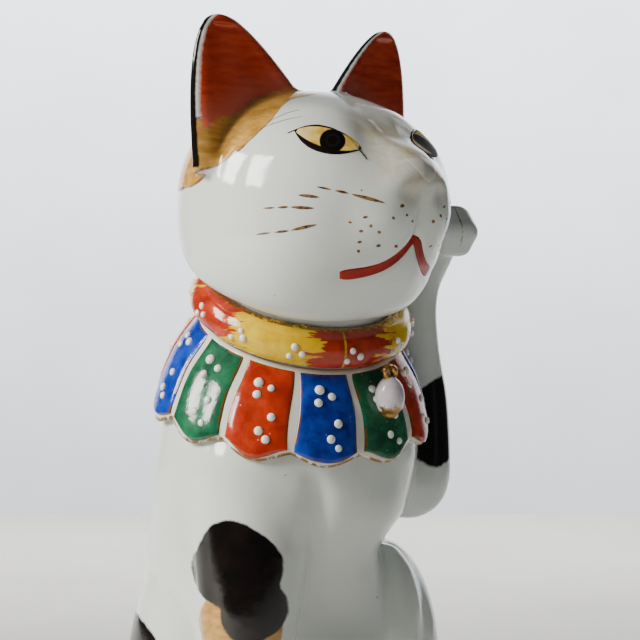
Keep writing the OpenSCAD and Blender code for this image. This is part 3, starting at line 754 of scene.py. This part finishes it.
class Finish:
    """A material in the making: one shader, and short names for the nodes that feed it."""

    def __init__(self, name):
        self.material = bpy.data.materials.new(name)
        self.material.use_nodes = True
        self.tree = self.material.node_tree
        self.tree.nodes.clear()
        self.shader = self.node("ShaderNodeBsdfPrincipled")
        self.node("ShaderNodeOutputMaterial", {"Surface": self.shader.outputs[0]})
        self.place = self.node("ShaderNodeTexCoord").outputs["Object"]

    def node(self, kind, links=None, **settings):
        return tree_node(self.tree, kind, links, **settings)

    def feed(self, **sockets):
        """Set shader inputs by name, with _ for a space, to an output or to a constant."""
        for key, value in sockets.items():
            self.put(self.shader.inputs[key.replace("_", " ")], value)

    def put(self, socket, value):
        if isinstance(value, bpy.types.NodeSocket):
            self.tree.links.new(value, socket)
        else:
            socket.default_value = paint(value) if isinstance(value, str) else value

    def noise(self, size_mm, detail=2.0, rough=0.5, warp=0.0, at=None):
        """Noise whose lumps are about size_mm across."""
        values = {"Scale": 1000.0 / size_mm, "Detail": detail, "Roughness": rough, "Distortion": warp}
        return self.node("ShaderNodeTexNoise", {"Vector": at or self.place}, values=values).outputs["Fac"]

    def specks(self, apart_mm):
        """Distance to the nearest of scattered points, about apart_mm from each other."""
        values = {"Scale": 1000 / apart_mm}
        return self.node("ShaderNodeTexVoronoi", {"Vector": self.place}, values=values).outputs["Distance"]

    def stretched(self, **values):
        return self.node("ShaderNodeMapping", {"Vector": self.place}, values=values).outputs[0]

    def layer(self, name):
        return self.node("ShaderNodeAttribute", attribute_name=name).outputs["Fac"]

    def ramp(self, source, low, high, to_low=0.0, to_high=1.0):
        values = {"From Min": low, "From Max": high, "To Min": to_low, "To Max": to_high}
        return self.node("ShaderNodeMapRange", {"Value": source}, values=values).outputs[0]

    def blend(self, amount, a, b):
        """Mix two colours; each may be a hex string or an output."""
        made = self.node("ShaderNodeMix", data_type="RGBA")
        for socket, value in zip((made.inputs[0], made.inputs[6], made.inputs[7]), (amount, a, b)):
            self.put(socket, value)
        return made.outputs[2]

    def maths(self, operation, a, b=0.0, clamp=False):
        made = self.node("ShaderNodeMath", operation=operation, use_clamp=clamp)
        self.put(made.inputs[0], a)
        self.put(made.inputs[1], b)
        return made.outputs[0]

    def plus(self, a, b):
        return self.maths("ADD", a, b)

    def times(self, a, b, clamp=False):
        return self.maths("MULTIPLY", a, b, clamp)

    def less(self, a, b):
        return self.maths("SUBTRACT", a, b)

    def dimple(self, height, strength, distance_mm):
        values = {"Strength": strength, "Distance": distance_mm * MM}
        self.feed(Normal=self.node("ShaderNodeBump", {"Height": height}, values=values).outputs[0])

    def inside(self, edge, soft, ragged=None, ragged_mm=0.0):
        """1 inside a painted edge, 0 outside, soft over so many mm, and ragged by a noise."""
        if ragged is not None:
            edge = self.plus(edge, self.times(self.less(ragged, 0.5), ragged_mm * 2))
        return self.ramp(edge, soft, -soft)


print("red as linear:", [round(v, 3) for v in paint("#c0392b")[:3]])

# %% White glaze with its painted areas
def glaze(name, head):
    coat = Finish(name)
    cool = coat.ramp(coat.noise(70, 2), 0.35, 0.65)
    colour = coat.blend(cool, "#e3eae5", "#dae2de")
    grime = coat.ramp(coat.noise(16, 5, 0.6), 0.55, 0.8, 0.0, 0.22)
    colour = coat.blend(grime, colour, "#c9bfa4")
    spots = coat.specks(7.0)
    gate = coat.ramp(coat.noise(9, 1), 0.60, 0.64)
    speck = coat.times(coat.ramp(spots, 0.055, 0.035), gate)
    colour = coat.blend(speck, colour, "#5a4632")
    brushed = coat.noise(5, 4, 0.6)
    fine = coat.noise(1.6, 3, 0.6)
    streaks = coat.stretched(Rotation=(0.3, 0.7, 0.2), Scale=(0.35, 1.0, 2.4))
    stroke = coat.noise(4.5, 4, 0.55, at=streaks)
    tan = coat.inside(coat.layer("tan_edge"), 0.35, brushed, 1.0)
    tan_colour = coat.blend(coat.ramp(stroke, 0.32, 0.68), "#a57832", "#cda255")
    if head:
        stain = coat.times(coat.layer("stain"), coat.ramp(coat.noise(6, 5, 0.7), 0.35, 0.75))
        colour = coat.blend(coat.times(stain, 0.7, True), colour, "#c8ab68")
        along_edge = coat.less(coat.maths("ABSOLUTE", coat.layer("tan_edge")), 0.35)
        rim = coat.times(coat.inside(along_edge, 0.3, brushed, 0.7), 0.85)
        colour = coat.blend(tan, colour, tan_colour)
        colour = coat.blend(rim, colour, "#6b3320")
        black = coat.inside(coat.layer("ear_black"), 0.2, fine, 0.25)
        colour = coat.blend(black, colour, "#15100f")
        foot = coat.layer("ear_foot")
        loose = coat.times(coat.ramp(foot, 4.0, 0.0), coat.less(fine, 0.42))
        red_edge = coat.plus(coat.layer("ear_red"), coat.times(loose, 5.0))
        red = coat.inside(red_edge, 0.6, fine, 0.6)
        red_colour = coat.blend(coat.ramp(stroke, 0.3, 0.7), "#a62b12", "#d04a26")
        red_colour = coat.blend(coat.ramp(foot, 9.0, 0.5, 0.0, 0.8), red_colour, "#d2705c")
        colour = coat.blend(red, colour, red_colour)
    else:
        colour = coat.blend(tan, colour, tan_colour)
        black = coat.inside(coat.layer("black_edge"), 0.35, brushed, 0.8)
        toes = coat.times(coat.inside(coat.layer("toe_line"), 0.25), coat.ramp(fine, 0.4, 0.5))
        colour = coat.blend(toes, colour, "#8a6538")
        dark = coat.blend(coat.ramp(coat.noise(8, 4, 0.6), 0.35, 0.7), "#0d0b0b", "#1a1210")
        colour = coat.blend(black, colour, dark)
    coat.feed(Base_Color=colour)
    rough = coat.ramp(coat.noise(11, 4, 0.6), 0.3, 0.8, 0.05, 0.16)
    coat.feed(Roughness=rough)
    coat.feed(IOR=1.52)
    wavy = coat.plus(coat.times(coat.noise(9, 1), 1.0), coat.times(fine, 0.12))
    coat.dimple(wavy, 0.35, 0.35)
    return coat.material


HEAD_GLAZE, BODY_GLAZE = glaze("white_glaze_head", True), glaze("white_glaze_body", False)
head_skin.data.materials.append(HEAD_GLAZE)
body_skin.data.materials.append(BODY_GLAZE)
print("glazes:", HEAD_GLAZE.name, BODY_GLAZE.name)

# %% Coloured enamels
def enamel(name, deep, light, pool=0.5, rough_low=0.07, rough_high=0.22, outlined=False, shine=0.5):
    """Glass enamel: darker where it pools, lighter where the brush pulled it thin."""
    coat = Finish(name)
    cloud = coat.ramp(coat.noise(7, 4, 0.6, 0.4), 0.35, 0.68)
    colour = coat.blend(cloud, deep, light)
    pits = coat.ramp(coat.specks(2.4), 0.16, 0.08)
    gate = coat.ramp(coat.noise(6, 1), 0.55, 0.62)
    colour = coat.blend(coat.times(coat.times(pits, gate), pool), colour, "#e9e2cf")
    if outlined:
        sides = coat.maths("ABSOLUTE", coat.layer("across"))
        ends = coat.maths("ABSOLUTE", coat.layer("along"))
        edge = coat.maths("MAXIMUM", coat.ramp(sides, 0.90, 0.94), coat.ramp(ends, 0.955, 0.975))
        broken = coat.ramp(coat.noise(5, 5, 0.7), 0.47, 0.53)
        colour = coat.blend(coat.times(edge, broken), colour, "#6b4a1e")
    coat.feed(Base_Color=colour)
    coat.feed(Roughness=coat.ramp(coat.noise(4, 4, 0.6), 0.3, 0.8, rough_low, rough_high))
    coat.feed(IOR=1.55)
    coat.feed(Specular_IOR_Level=shine)
    coat.dimple(coat.noise(3, 3, 0.5), 0.3, 0.3)
    return coat.material


RED = enamel("red_enamel", "#98260e", "#c43a1c", 0.5, outlined=True)
BLUE = enamel("blue_enamel", "#0a2280", "#1f48bc", 0.25, outlined=True)
GREEN = enamel("green_enamel", "#134a33", "#287550", 0.35, outlined=True)
DROP_WHITE = enamel("white_drop_enamel", "#e6e6e0", "#f4f4f0", 0.0)
LINE_RED = enamel("lip_red_enamel", "#8a1c12", "#aa2c1e", 0.0, 0.35, 0.45, shine=0.2)


def worn_gold():
    """Liquid gold, fired on and rubbed: bright where it is left, brown where it has gone."""
    coat = Finish("worn_gilding")
    left = coat.ramp(coat.noise(2.2, 5, 0.65), 0.42, 0.56)
    coat.feed(Base_Color=coat.blend(left, "#5d4128", "#cf9c4a"))
    coat.feed(Metallic=coat.ramp(left, 0, 1, 0.0, 0.95))
    coat.feed(Roughness=coat.ramp(coat.noise(1.5, 3), 0.3, 0.7, 0.2, 0.4))
    return coat.material


GOLD = worn_gold()


def collar_finish():
    coat = Finish("red_and_yellow_collar_enamel")
    turn_round, over = coat.layer("round"), coat.layer("over")
    feather = coat.noise(5, 3, 0.6, at=coat.stretched(Scale=(0.5, 0.5, 3.0)))
    wave = coat.maths("COSINE", coat.times(coat.plus(turn_round, 40.0), math.radians(4)))
    ragged = coat.plus(wave, coat.times(coat.less(feather, 0.5), 3.4))
    yellow = coat.ramp(ragged, -0.06, 0.06)
    red = coat.blend(coat.ramp(coat.noise(5, 4, 0.6), 0.35, 0.7), "#8f2413", "#c23c1c")
    gold = coat.blend(coat.ramp(coat.noise(6, 3, 0.6), 0.35, 0.7), "#d6a800", "#eccb22")
    colour = coat.blend(yellow, red, gold)
    at_edges = coat.ramp(coat.maths("ABSOLUTE", over), 0.93, 0.96)
    line = coat.times(at_edges, coat.ramp(coat.noise(3, 4, 0.7), 0.42, 0.5))
    colour = coat.blend(line, colour, "#a8793a")
    coat.feed(Base_Color=colour)
    coat.feed(Metallic=coat.times(line, 0.8))
    coat.feed(Roughness=coat.ramp(coat.noise(4, 4, 0.6), 0.3, 0.8, 0.06, 0.2))
    coat.dimple(coat.noise(3, 3, 0.5), 0.3, 0.3)
    return coat.material


collar.data.materials.append(collar_finish())
print("enamels:", [m.name for m in (RED, BLUE, GREEN, DROP_WHITE, LINE_RED, GOLD)])

# %% Bib finishes
def cloth_finish():
    """White glaze of the bib's border, with a broken gold line along its scallops."""
    coat = Finish("white_glaze_gilt_border")
    base = coat.blend(coat.ramp(coat.noise(12, 3), 0.35, 0.65), "#e8e7df", "#dcd9cc")
    worn = coat.ramp(coat.noise(3.5, 5, 0.7), 0.44, 0.52)
    line = coat.times(coat.ramp(coat.layer("edge"), 1.4, 0.9), worn)
    coat.feed(Base_Color=coat.blend(line, base, "#a77a3c"))
    coat.feed(Metallic=coat.times(line, 0.85))
    coat.feed(Roughness=coat.ramp(line, 0, 1, 0.1, 0.28))
    coat.dimple(coat.noise(3, 3, 0.5), 0.3, 0.3)
    return coat.material


cape.data.materials.append(cloth_finish())
for k, panel in enumerate(panels, 1):
    panel.data.materials.append((RED, BLUE, GREEN)[k % 3])

# Two trios of drops on each panel, high on one side and low on the other
DROP_PLAN = [(-0.27, 0.62), (0.17, 0.55), (-0.30, 0.34), (0.40, -0.10), (0.04, -0.40), (0.34, -0.58)]
rng = np.random.default_rng(7)
where, stand, size = [], [], []
for k in range(1, PANELS + 1):
    for i, (u, v) in enumerate(DROP_PLAN):
        u, v = u + rng.uniform(-0.06, 0.06), v + rng.uniform(-0.05, 0.05)
        low = bib_edge(PANEL_PHASE) + 0.13
        t = low + (BIB_HIGH - 0.1 - low) * (v + 1) / 2
        a = PANEL_PHASE + (k - 1) * PANEL_STEP + 13 * u
        where.append(on_body(t, a, bib_flare(t) + 2.7))
        stand.append(body_normal(t, a))
        size.append(1.15 if i == 0 else 1.0)
panel_drops = set_drops("bib_drops", where, stand, size, DROP_WHITE, 1.35, 0.9, 3)
where, stand, size = [], [], []
for k in range(12):
    for i, (da, dt) in enumerate(((-3.2, -0.12), (3.0, 0.02), (0.2, 0.22))):
        a, t = k * 30 + 4 + da + rng.uniform(-1, 1), COLLAR_MID - 0.06 + dt
        bow = np.clip(1 - ((t - COLLAR_MID) / COLLAR_HALF) ** 2, 0, 1) ** 0.4
        where.append(on_body(t, a, 0.1 + COLLAR_OUT * bow))
        stand.append(body_normal(t, a))
        size.append(1.0)
collar_drops = set_drops("collar_drops", where, stand, size, DROP_WHITE, 1.15, 0.8, 5)
print("drops:", len(panel_drops.data.polygons), len(collar_drops.data.polygons))

# %% [markdown]
# ## Face
# The eye is painted in four enamels: gold-yellow, a black pupil, a heavy black lower line and a
# thin upper one. It is one almond-shaped pad, and each point stores where it is in the eye. Its
# index is set far below glass, because at its real gloss the far eye mirrors only the pale wall.

# %% Eyes
EYE_AZ, EYE_EL, EYE_SLANT = 34.5, 25.3, 21.0
LEFT_EYE_SHIFT = 12.0  # the cat's left eye is painted nearer the nose


def eye_azimuth(side, out):
    """Direction of a place in an eye, out degrees from its middle, away from the nose."""
    return side * (EYE_AZ - LEFT_EYE_SHIFT * (side > 0) + out)


def eye_pad(name, side):
    u, v = np.meshgrid(np.linspace(-1, 1, 97), np.linspace(-1, 1, 41))
    p = 13.4 * u
    half_open = np.clip(1 - np.abs(u) ** 2.2, 0, 1)
    q = np.where(v > 0, v * 6.6 * half_open ** 0.85, v * 6.5 * half_open ** 1.0)
    s = math.radians(EYE_SLANT)
    d_az, d_el = p * math.cos(s) - q * math.sin(s), p * math.sin(s) + q * math.cos(s)
    azimuth = eye_azimuth(side, d_az / math.cos(math.radians(EYE_EL)))
    rim = np.clip((1 - np.maximum(np.abs(u) ** 8, np.abs(v) ** 6)), 0, 1) ** 0.5
    top = on_head(azimuth, EYE_EL + d_el, 0.05 + 0.35 * rim)
    low = on_head(azimuth, EYE_EL + d_el, -0.3)
    made = closed_pad(name, top, low, mirrored=side < 0)
    pupil = np.hypot((p + 2.4) / 4.7, (q - 0.1) / 5.8)
    paint_both_faces(made, {"lid": v, "length": u, "pupil": pupil})
    return made


def eye_finish():
    coat = Finish("painted_eye_enamel")
    lid, length, pupil = coat.layer("lid"), coat.layer("length"), coat.layer("pupil")
    gold = coat.blend(coat.ramp(coat.noise(3, 3, 0.6), 0.35, 0.7), "#c9992f", "#ecd070")
    light = coat.ramp(pupil, 1.5, 2.2)
    gold = coat.blend(coat.times(light, 0.5), gold, "#efe3a8")
    colour = coat.blend(coat.ramp(pupil, 1.06, 0.98), gold, "#0d0b0b")
    lower = coat.ramp(coat.plus(lid, coat.times(length, -0.14)), -0.60, -0.67)
    upper = coat.ramp(lid, 0.84, 0.9)
    corner = coat.ramp(coat.maths("ABSOLUTE", length), 0.90, 0.94)
    line = coat.maths("MAXIMUM", coat.maths("MAXIMUM", lower, upper), corner)
    colour = coat.blend(line, colour, "#120d0b")
    # The faint lighter ring inside the black pupil is a painted reflection of the light.
    ring = coat.times(coat.ramp(pupil, 0.62, 0.56), coat.ramp(pupil, 0.36, 0.42))
    colour = coat.blend(coat.times(ring, 0.12), colour, "#3b3733")
    coat.feed(Base_Color=colour)
    coat.feed(Roughness=0.5)
    coat.feed(IOR=1.12)
    return coat.material


EYE = eye_finish()
eye_left, eye_right = eye_pad("eye_left_enamel", 1), eye_pad("eye_right_enamel", -1)
for eye in (eye_left, eye_right):
    eye.data.materials.append(EYE)
print("eye points:", len(eye_left.data.vertices))

# %% [markdown]
# Brush strokes are thin ribbons of enamel: fuller in the middle of a stroke and drawn to a point.
# One helper lays a stroke along a path of directions on the head.

# %% Brush strokes
def stroke_points(path, width, steps=40, rise=0.25):
    """Points and faces of one closed ribbon along rows of az, el. width(s) is in mm, s from 0 to 1."""
    path = np.array(path, float)
    gaps = np.concatenate([[0], np.cumsum(np.hypot(*np.diff(path, axis=0).T))])
    s = np.linspace(0, 1, steps)
    az = np.interp(s * gaps[-1], gaps, path[:, 0])
    el = np.interp(s * gaps[-1], gaps, path[:, 1])
    for _ in range(3):
        az[1:-1], el[1:-1] = (az[:-2] + 2 * az[1:-1] + az[2:]) / 4, (el[:-2] + 2 * el[1:-1] + el[2:]) / 4
    along = np.gradient(np.stack([az * np.cos(np.radians(el)), el], -1), axis=0)
    along /= np.linalg.norm(along, axis=-1, keepdims=True) + 1e-9
    half = np.maximum(width(s), 0.06) / 2 / 0.82
    corners = []
    for k, (side, up) in enumerate(((-1, 0.02), (-0.6, 0.8), (0, 1.0), (0.6, 0.8), (1, 0.02), (0, -0.6))):
        corners.append(on_head(az - along[:, 1] * side * half / np.cos(np.radians(el)),
                               el + along[:, 0] * side * half, rise * up))
    rings = np.stack(corners, 1)
    n, m = rings.shape[:2]
    quads = wrapped_quads(n, m, n - 1, m)[:, [0, 3, 2, 1]]
    faces = quads.tolist() + [list(range(m))[::-1], [(n - 1) * m + k for k in range(m)]]
    return rings.reshape(-1, 3), faces


def strokes(name, plan, material, rise=0.25):
    points, faces, start = [], [], 0
    for path, width in plan:
        p, f = stroke_points(path, width, rise=rise)
        faces += [[k + start for k in face] for face in f]
        points.append(p)
        start += len(p)
    made = mesh_piece(name, np.concatenate(points), faces)
    made.data.materials.append(material)
    return made


def lip_width(s):
    """Thin under the nose, full towards the corners, and drawn in at both ends."""
    out = np.abs(2 * s - 1)
    return 2.4 + 1.7 * out ** 1.1 * (1 - out ** 14)


lip_path = [(az, lip_height(az)) for az in np.linspace(-29, 24, 41)]
lip = strokes("lip_line_enamel", [(lip_path, lip_width)], LINE_RED, 0.28)


def tapered(widest):
    return lambda s: widest * np.clip(np.sin(math.pi * np.clip(s, 0.02, 0.98)), 0, 1) ** 0.6


SHORT_WHISKER = [(-46, 3), (-42, 2.6), (-38, 2)]
LONG_WHISKERS = [[(-39, 6), (-28, 3.5), (-16, 0)], [(-60, -2), (-50, -1.5), (-40, -2)],
                 [(-63, -12), (-50, -10.5), (-39, -8)]]
DASHES = [(0.0, 0.24), (0.3, 0.52), (0.56, 1.0)]  # parts of a long whisker where the gold is left
BROWS = [[(-66, 33), (-55, 37), (-45, 39)], [(-63, 37), (-54, 42), (-47, 44)]]
whisker_plan = []
for side in (1, -1):
    for path in [SHORT_WHISKER] + LONG_WHISKERS:
        x, y = np.array(path).T
        for start, stop in [(0.0, 1.0)] if path is SHORT_WHISKER else DASHES:
            s = np.linspace(start, stop, 5)
            at = np.linspace(0, 1, len(x))
            dash = np.stack([side * np.interp(s, at, x), np.interp(s, at, y)], 1)
            whisker_plan.append((dash, tapered(0.55 + 0.5 * stop)))
    for path in BROWS:
        whisker_plan.append(([(side * x, y) for x, y in path], tapered(0.32)))
DOTS = [(-10, -1), (-13, -5), (-8, -4), (-16, -15), (-9, -15), (-27, -7), (-22, -5), (-23, -10),
        (-23, -14), (-23, -17.5), (-17, -10), (-20, -8), (-5, -6)]
for x, y in DOTS:
    for side in (1, -1):
        long, up = rng.uniform(0.5, 0.9), rng.uniform(-0.4, 0.4)
        middle = side * x
        dot = [(middle - long, y - up), (middle, y + 0.1), (middle + long, y + up)]
        whisker_plan.append((dot, tapered(rng.uniform(0.7, 1.05))))


def worn_line():
    """Brown-black whisker lines, with most of their gold rubbed away."""
    coat = Finish("worn_whisker_gilding")
    left = coat.ramp(coat.noise(1.6, 4, 0.7), 0.45, 0.6)
    coat.feed(Base_Color=coat.blend(left, "#8d6436", "#33200f"))
    coat.feed(Roughness=0.3)
    return coat.material


WHISKER_BROWN = worn_line()
whiskers = strokes("whisker_strokes", whisker_plan, WHISKER_BROWN, 0.12)
LID_BLACK = enamel("lid_black_enamel", "#120e0c", "#1d1613", 0.0)
UPPER_LID = [(-14.5, -9.5), (-13, -5.6), (-9.5, 0.8), (-4, 5.6), (3, 7.8), (9, 7.2), (14, 5.2), (17, 4.0)]
lid_plan = [([(eye_azimuth(side, x), EYE_EL + y) for x, y in UPPER_LID], tapered(0.8)) for side in (1, -1)]
lids = strokes("upper_lid_lines", lid_plan, LID_BLACK, 0.4)


def on_nose(u, v, lift):
    return on_head(6.5 * u * (0.75 + 0.35 * v), 11.5 + 3.6 * v - 1.2 * (1 - np.abs(u)) * (v < 0), lift)


nose = cushion("nose_glaze", on_nose, 25, 19, 0.16, 2.0, 0.4)
nose.data.materials.append(enamel("nose_white_glaze", "#dfe2dd", "#e8e3d4", 0.0))
print("strokes:", len(whisker_plan) + len(lid_plan) + 1)

# %% [markdown]
# The bell is a moulded ball of porcelain with a pearly glaze, a slit, and a gilt knot over it. Gold
# has worn off all but its rim. It is turned as a profile, and the slit is pressed into the mesh.

# %% Bell and knot
BELL_AT = on_body(8.45, 23.0, bib_flare(8.45) + 1.6 + 1.2 + 4.0)
lon, lat = np.meshgrid(np.linspace(0, 2 * math.pi, 65)[:-1],
                       np.linspace(-math.pi / 2, math.pi / 2, 41)[1:-1], indexing="ij")
pinch = 1 - 0.05 * np.exp(-((lat - 1.1) / 0.25) ** 2)
slit = 0.9 * np.exp(-((lat + 0.9) / 0.16) ** 2) * np.clip(np.abs(np.sin(lon)) * 1.4 - 0.2, 0, 1)
radius_bell = np.cos(lat) * 5.0 * pinch - slit
bell_points = np.stack([BELL_AT[0] + radius_bell * np.cos(lon), BELL_AT[1] + radius_bell * np.sin(lon),
                        BELL_AT[2] + 7.2 * np.sin(lat)], -1)
n, m = lon.shape
quads = wrapped_quads(n, m, n, m - 1).tolist()
caps = [[k * m for k in range(n)][::-1], [k * m + m - 1 for k in range(n)]]
bell = mesh_piece("bell_pearl_glaze", bell_points.reshape(-1, 3), quads + caps)
paint_layer(bell, "down", -lat.ravel())


def pearl_finish():
    coat = Finish("pearl_glaze_worn_gilt")
    base = coat.blend(coat.ramp(coat.noise(4, 3), 0.35, 0.7), "#e6dfe6", "#cfc6d0")
    low = coat.plus(coat.layer("down"), coat.times(coat.less(coat.noise(3, 4, 0.6), 0.5), 1.6))
    gold = coat.ramp(low, 0.45, 0.6)
    coat.feed(Base_Color=coat.blend(gold, base, "#b08a4c"))
    coat.feed(Metallic=coat.times(gold, 0.8))
    coat.feed(Roughness=coat.ramp(gold, 0, 1, 0.12, 0.3))
    coat.dimple(coat.noise(2.5, 3), 0.4, 0.3)
    return coat.material


bell.data.materials.append(pearl_finish())
around, section = np.meshgrid(np.linspace(0, 2 * math.pi, 49)[:-1],
                              np.linspace(0, 2 * math.pi, 17)[:-1], indexing="ij")
cord = 1.25 * (1 + 0.18 * np.sin(3 * around + 0.6))
flat_x = (2.2 + cord * np.cos(section)) * np.cos(around)
flat_y = cord * np.sin(section)
flat_z = (2.0 + cord * np.cos(section)) * np.sin(around)
c23, s23 = math.cos(math.radians(23)), math.sin(math.radians(23))
KNOT_AT = BELL_AT + np.array([0, 0, 8.1])
knot_rings = KNOT_AT + np.stack([flat_x * c23 + flat_y * s23, flat_x * s23 - flat_y * c23, flat_z], -1)
knot = loop_piece("gilt_knot", knot_rings)
knot.data.materials.append(GOLD)
print("bell at mm:", np.round(BELL_AT, 1))

# %% [markdown]
# ## Standing in the model
# Every piece rides on the one rigid body and takes the place of the CAD nodes it stands for. The
# base disc keeps its CAD mesh and gets a biscuit finish: unglazed, matt and slightly grey.

# %% Ride and replace
def biscuit():
    coat = Finish("unglazed_biscuit")
    grain = coat.noise(0.8, 4, 0.7)
    coat.feed(Base_Color=coat.blend(coat.ramp(coat.noise(9, 4), 0.35, 0.7), "#d8d2c4", "#bfb6a3"))
    coat.feed(Roughness=coat.ramp(grain, 0.3, 0.7, 0.7, 0.9))
    coat.dimple(grain, 0.5, 0.2)
    return coat.material


SHELLS = {
    "white_glaze": [(body_skin, ["body_shell", "haunch_left", "haunch_right", "hind_paw_left",
                                 "hind_paw_right", "foreleg_right", "forepaw_right", "raised_arm",
                                 "raised_paw", "tail"]),
                    (head_skin, ["head_shell", "ear_left", "ear_right"]),
                    (nose, ["nose_pad"]), (cape, ["bib_cape"])],
    "yellow_enamel": [(eye_left, ["eye_left"]), (eye_right, ["eye_right"])],
    "red_enamel": [(lip, ["mouth_line"]), (collar, ["collar_band"])],
    "white_enamel": [(panel_drops, ["enamel_dots"]), (collar_drops, ["collar_dots"])],
    "pearl_glaze": [(bell, ["bell"])],
    "gilt": [(knot, ["bell_knot"]), (whiskers, [])],
    "black_enamel": [(lids, [])],
}
for slot, rows in SHELLS.items():
    for piece, nodes in rows:
        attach(piece, "root")
        if nodes:
            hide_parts(*nodes)
for k, panel in enumerate(panels, 1):
    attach(panel, "root")
    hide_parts(f"bib_panel_{k:02d}")
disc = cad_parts["base_disc"]
disc = disc if isinstance(disc, bpy.types.Object) else bpy.data.objects[disc]
disc.data.materials.clear()
disc.data.materials.append(biscuit())
print("pieces:", sum(len(r) for r in SHELLS.values()) + len(panels))

# %% [markdown]
# ## Studio
# A pale table and a pale curved wall. Two window panes in front and to the left do nearly all the
# work, so the far side falls to a soft grey. The wall and the table each have a light of their own.

# %% Floor and wall
def plain_surface(name, hex_a, hex_b, points, faces):
    made = mesh_piece(name, points, faces, smooth=True)
    coat = Finish(name + "_paper")
    coat.feed(Base_Color=coat.blend(coat.ramp(coat.noise(160, 3), 0.35, 0.65), hex_a, hex_b))
    coat.feed(Roughness=0.85)
    made.data.materials.append(coat.material)
    made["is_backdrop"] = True
    return made


away, right = -TO_VIEWER / MM, TO_RIGHT / MM
TABLE_BEHIND, WALL_BEHIND = 0.72, 2.6
corners = [away * TABLE_BEHIND - right * 4, away * TABLE_BEHIND + right * 4,
           away * -4 + right * 4, away * -4 - right * 4]


def at_heights(plan, heights):
    """The points of a plan, once at each height in mm."""
    return [tuple(c + np.array([0, 0, z])) for z in heights for c in plan]


table = plain_surface("pale_table", "#ebe9e4", "#e2e0da",
                      at_heights(corners, (-0.2, -25.0)),
                      [[3, 2, 1, 0], [4, 5, 6, 7], [0, 1, 5, 4], [1, 2, 6, 5], [2, 3, 7, 6], [3, 0, 4, 7]])
bend = np.radians(np.linspace(-40, 40, 33))
arc = [(away * math.cos(t) + right * math.sin(t)) * WALL_BEHIND for t in bend]
wall = plain_surface("pale_wall", "#dfe3e6", "#d9dde1", at_heights(arc, (-1500.0, 2500.0)),
                     [[k, k + 1, k + 34, k + 33] for k in range(32)])


# %% Camera
CAMERA_RISE, CAMERA_AWAY = math.radians(2), 0.700
back_way = Vector((*(TO_VIEWER * math.cos(CAMERA_RISE))[:2], math.sin(CAMERA_RISE)))
aim = Vector(TO_RIGHT) * 0.01225 + Vector((0, 0, 0.1636))
lens = bpy.data.cameras.new("camera")
camera = bpy.data.objects.new("camera", lens)
bpy.context.scene.collection.objects.link(camera)
camera.location = aim + back_way * CAMERA_AWAY
camera.rotation_euler = (-back_way).to_track_quat("-Z", "Y").to_euler()
lens.lens = 112.5
lens.clip_start, lens.clip_end = 0.02, 20
bpy.context.scene.camera = camera

# %% Lights
def soft_light(name, place, size, watts, colour, target=(0, 0, 0.15), spread=180):
    data = bpy.data.lights.new(name, "AREA")
    data.shape, data.size, data.size_y = "RECTANGLE", size[0], size[1]
    data.energy, data.color, data.spread = watts, paint(colour)[:3], math.radians(spread)
    made = bpy.data.objects.new(name, data)
    made.location = place
    made.rotation_euler = (Vector(place) - Vector(target)).to_track_quat("Z", "Y").to_euler()
    bpy.context.scene.collection.objects.link(made)


def beside(right_by, toward_camera, up):
    """A place given from where the camera stands: metres to the right, towards it, and up."""
    return tuple(Vector(TO_RIGHT) * right_by + Vector(TO_VIEWER) * toward_camera + Vector((0, 0, up)))


for pane in (-1, 1):
    soft_light("window", beside(-1.25 + 0.14 * pane, 0.42 + 0.24 * pane, 0.9), (0.34, 0.6), 23, "#fffaf2")
soft_light("ceiling", beside(-0.1, 0.0, 1.5), (1.2, 1.2), 0.3, "#f4f7ff")
soft_light("right_fill", beside(1.3, 0.5, 0.5), (0.4, 0.8), 0.08, "#f6f3ee")
soft_light("wall_wash", beside(0.0, -1.5, 1.0), (2.4, 0.5), 90, "#fbfcff", beside(0.0, -2.6, 0.25))
soft_light("back_rim", beside(0.9, -1.1, 0.9), (0.5, 0.8), 2, "#fffaf4")
soft_light("table_wash", beside(0.0, -0.58, 0.9), (1.3, 0.3), 4, "#fdfcf8", beside(0.0, -0.62, 0.0), 60)
world = bpy.data.worlds.new("studio_air")
world.use_nodes = True
world.node_tree.nodes["Background"].inputs["Color"].default_value = paint("#e6ebf0")
world.node_tree.nodes["Background"].inputs["Strength"].default_value = 0.05
bpy.context.scene.world = world
print("lights:", len(bpy.data.lights))

# %% Sizes
low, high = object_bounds()
print("visual box m:", [round(b - a, 4) for a, b in zip(low, high)])
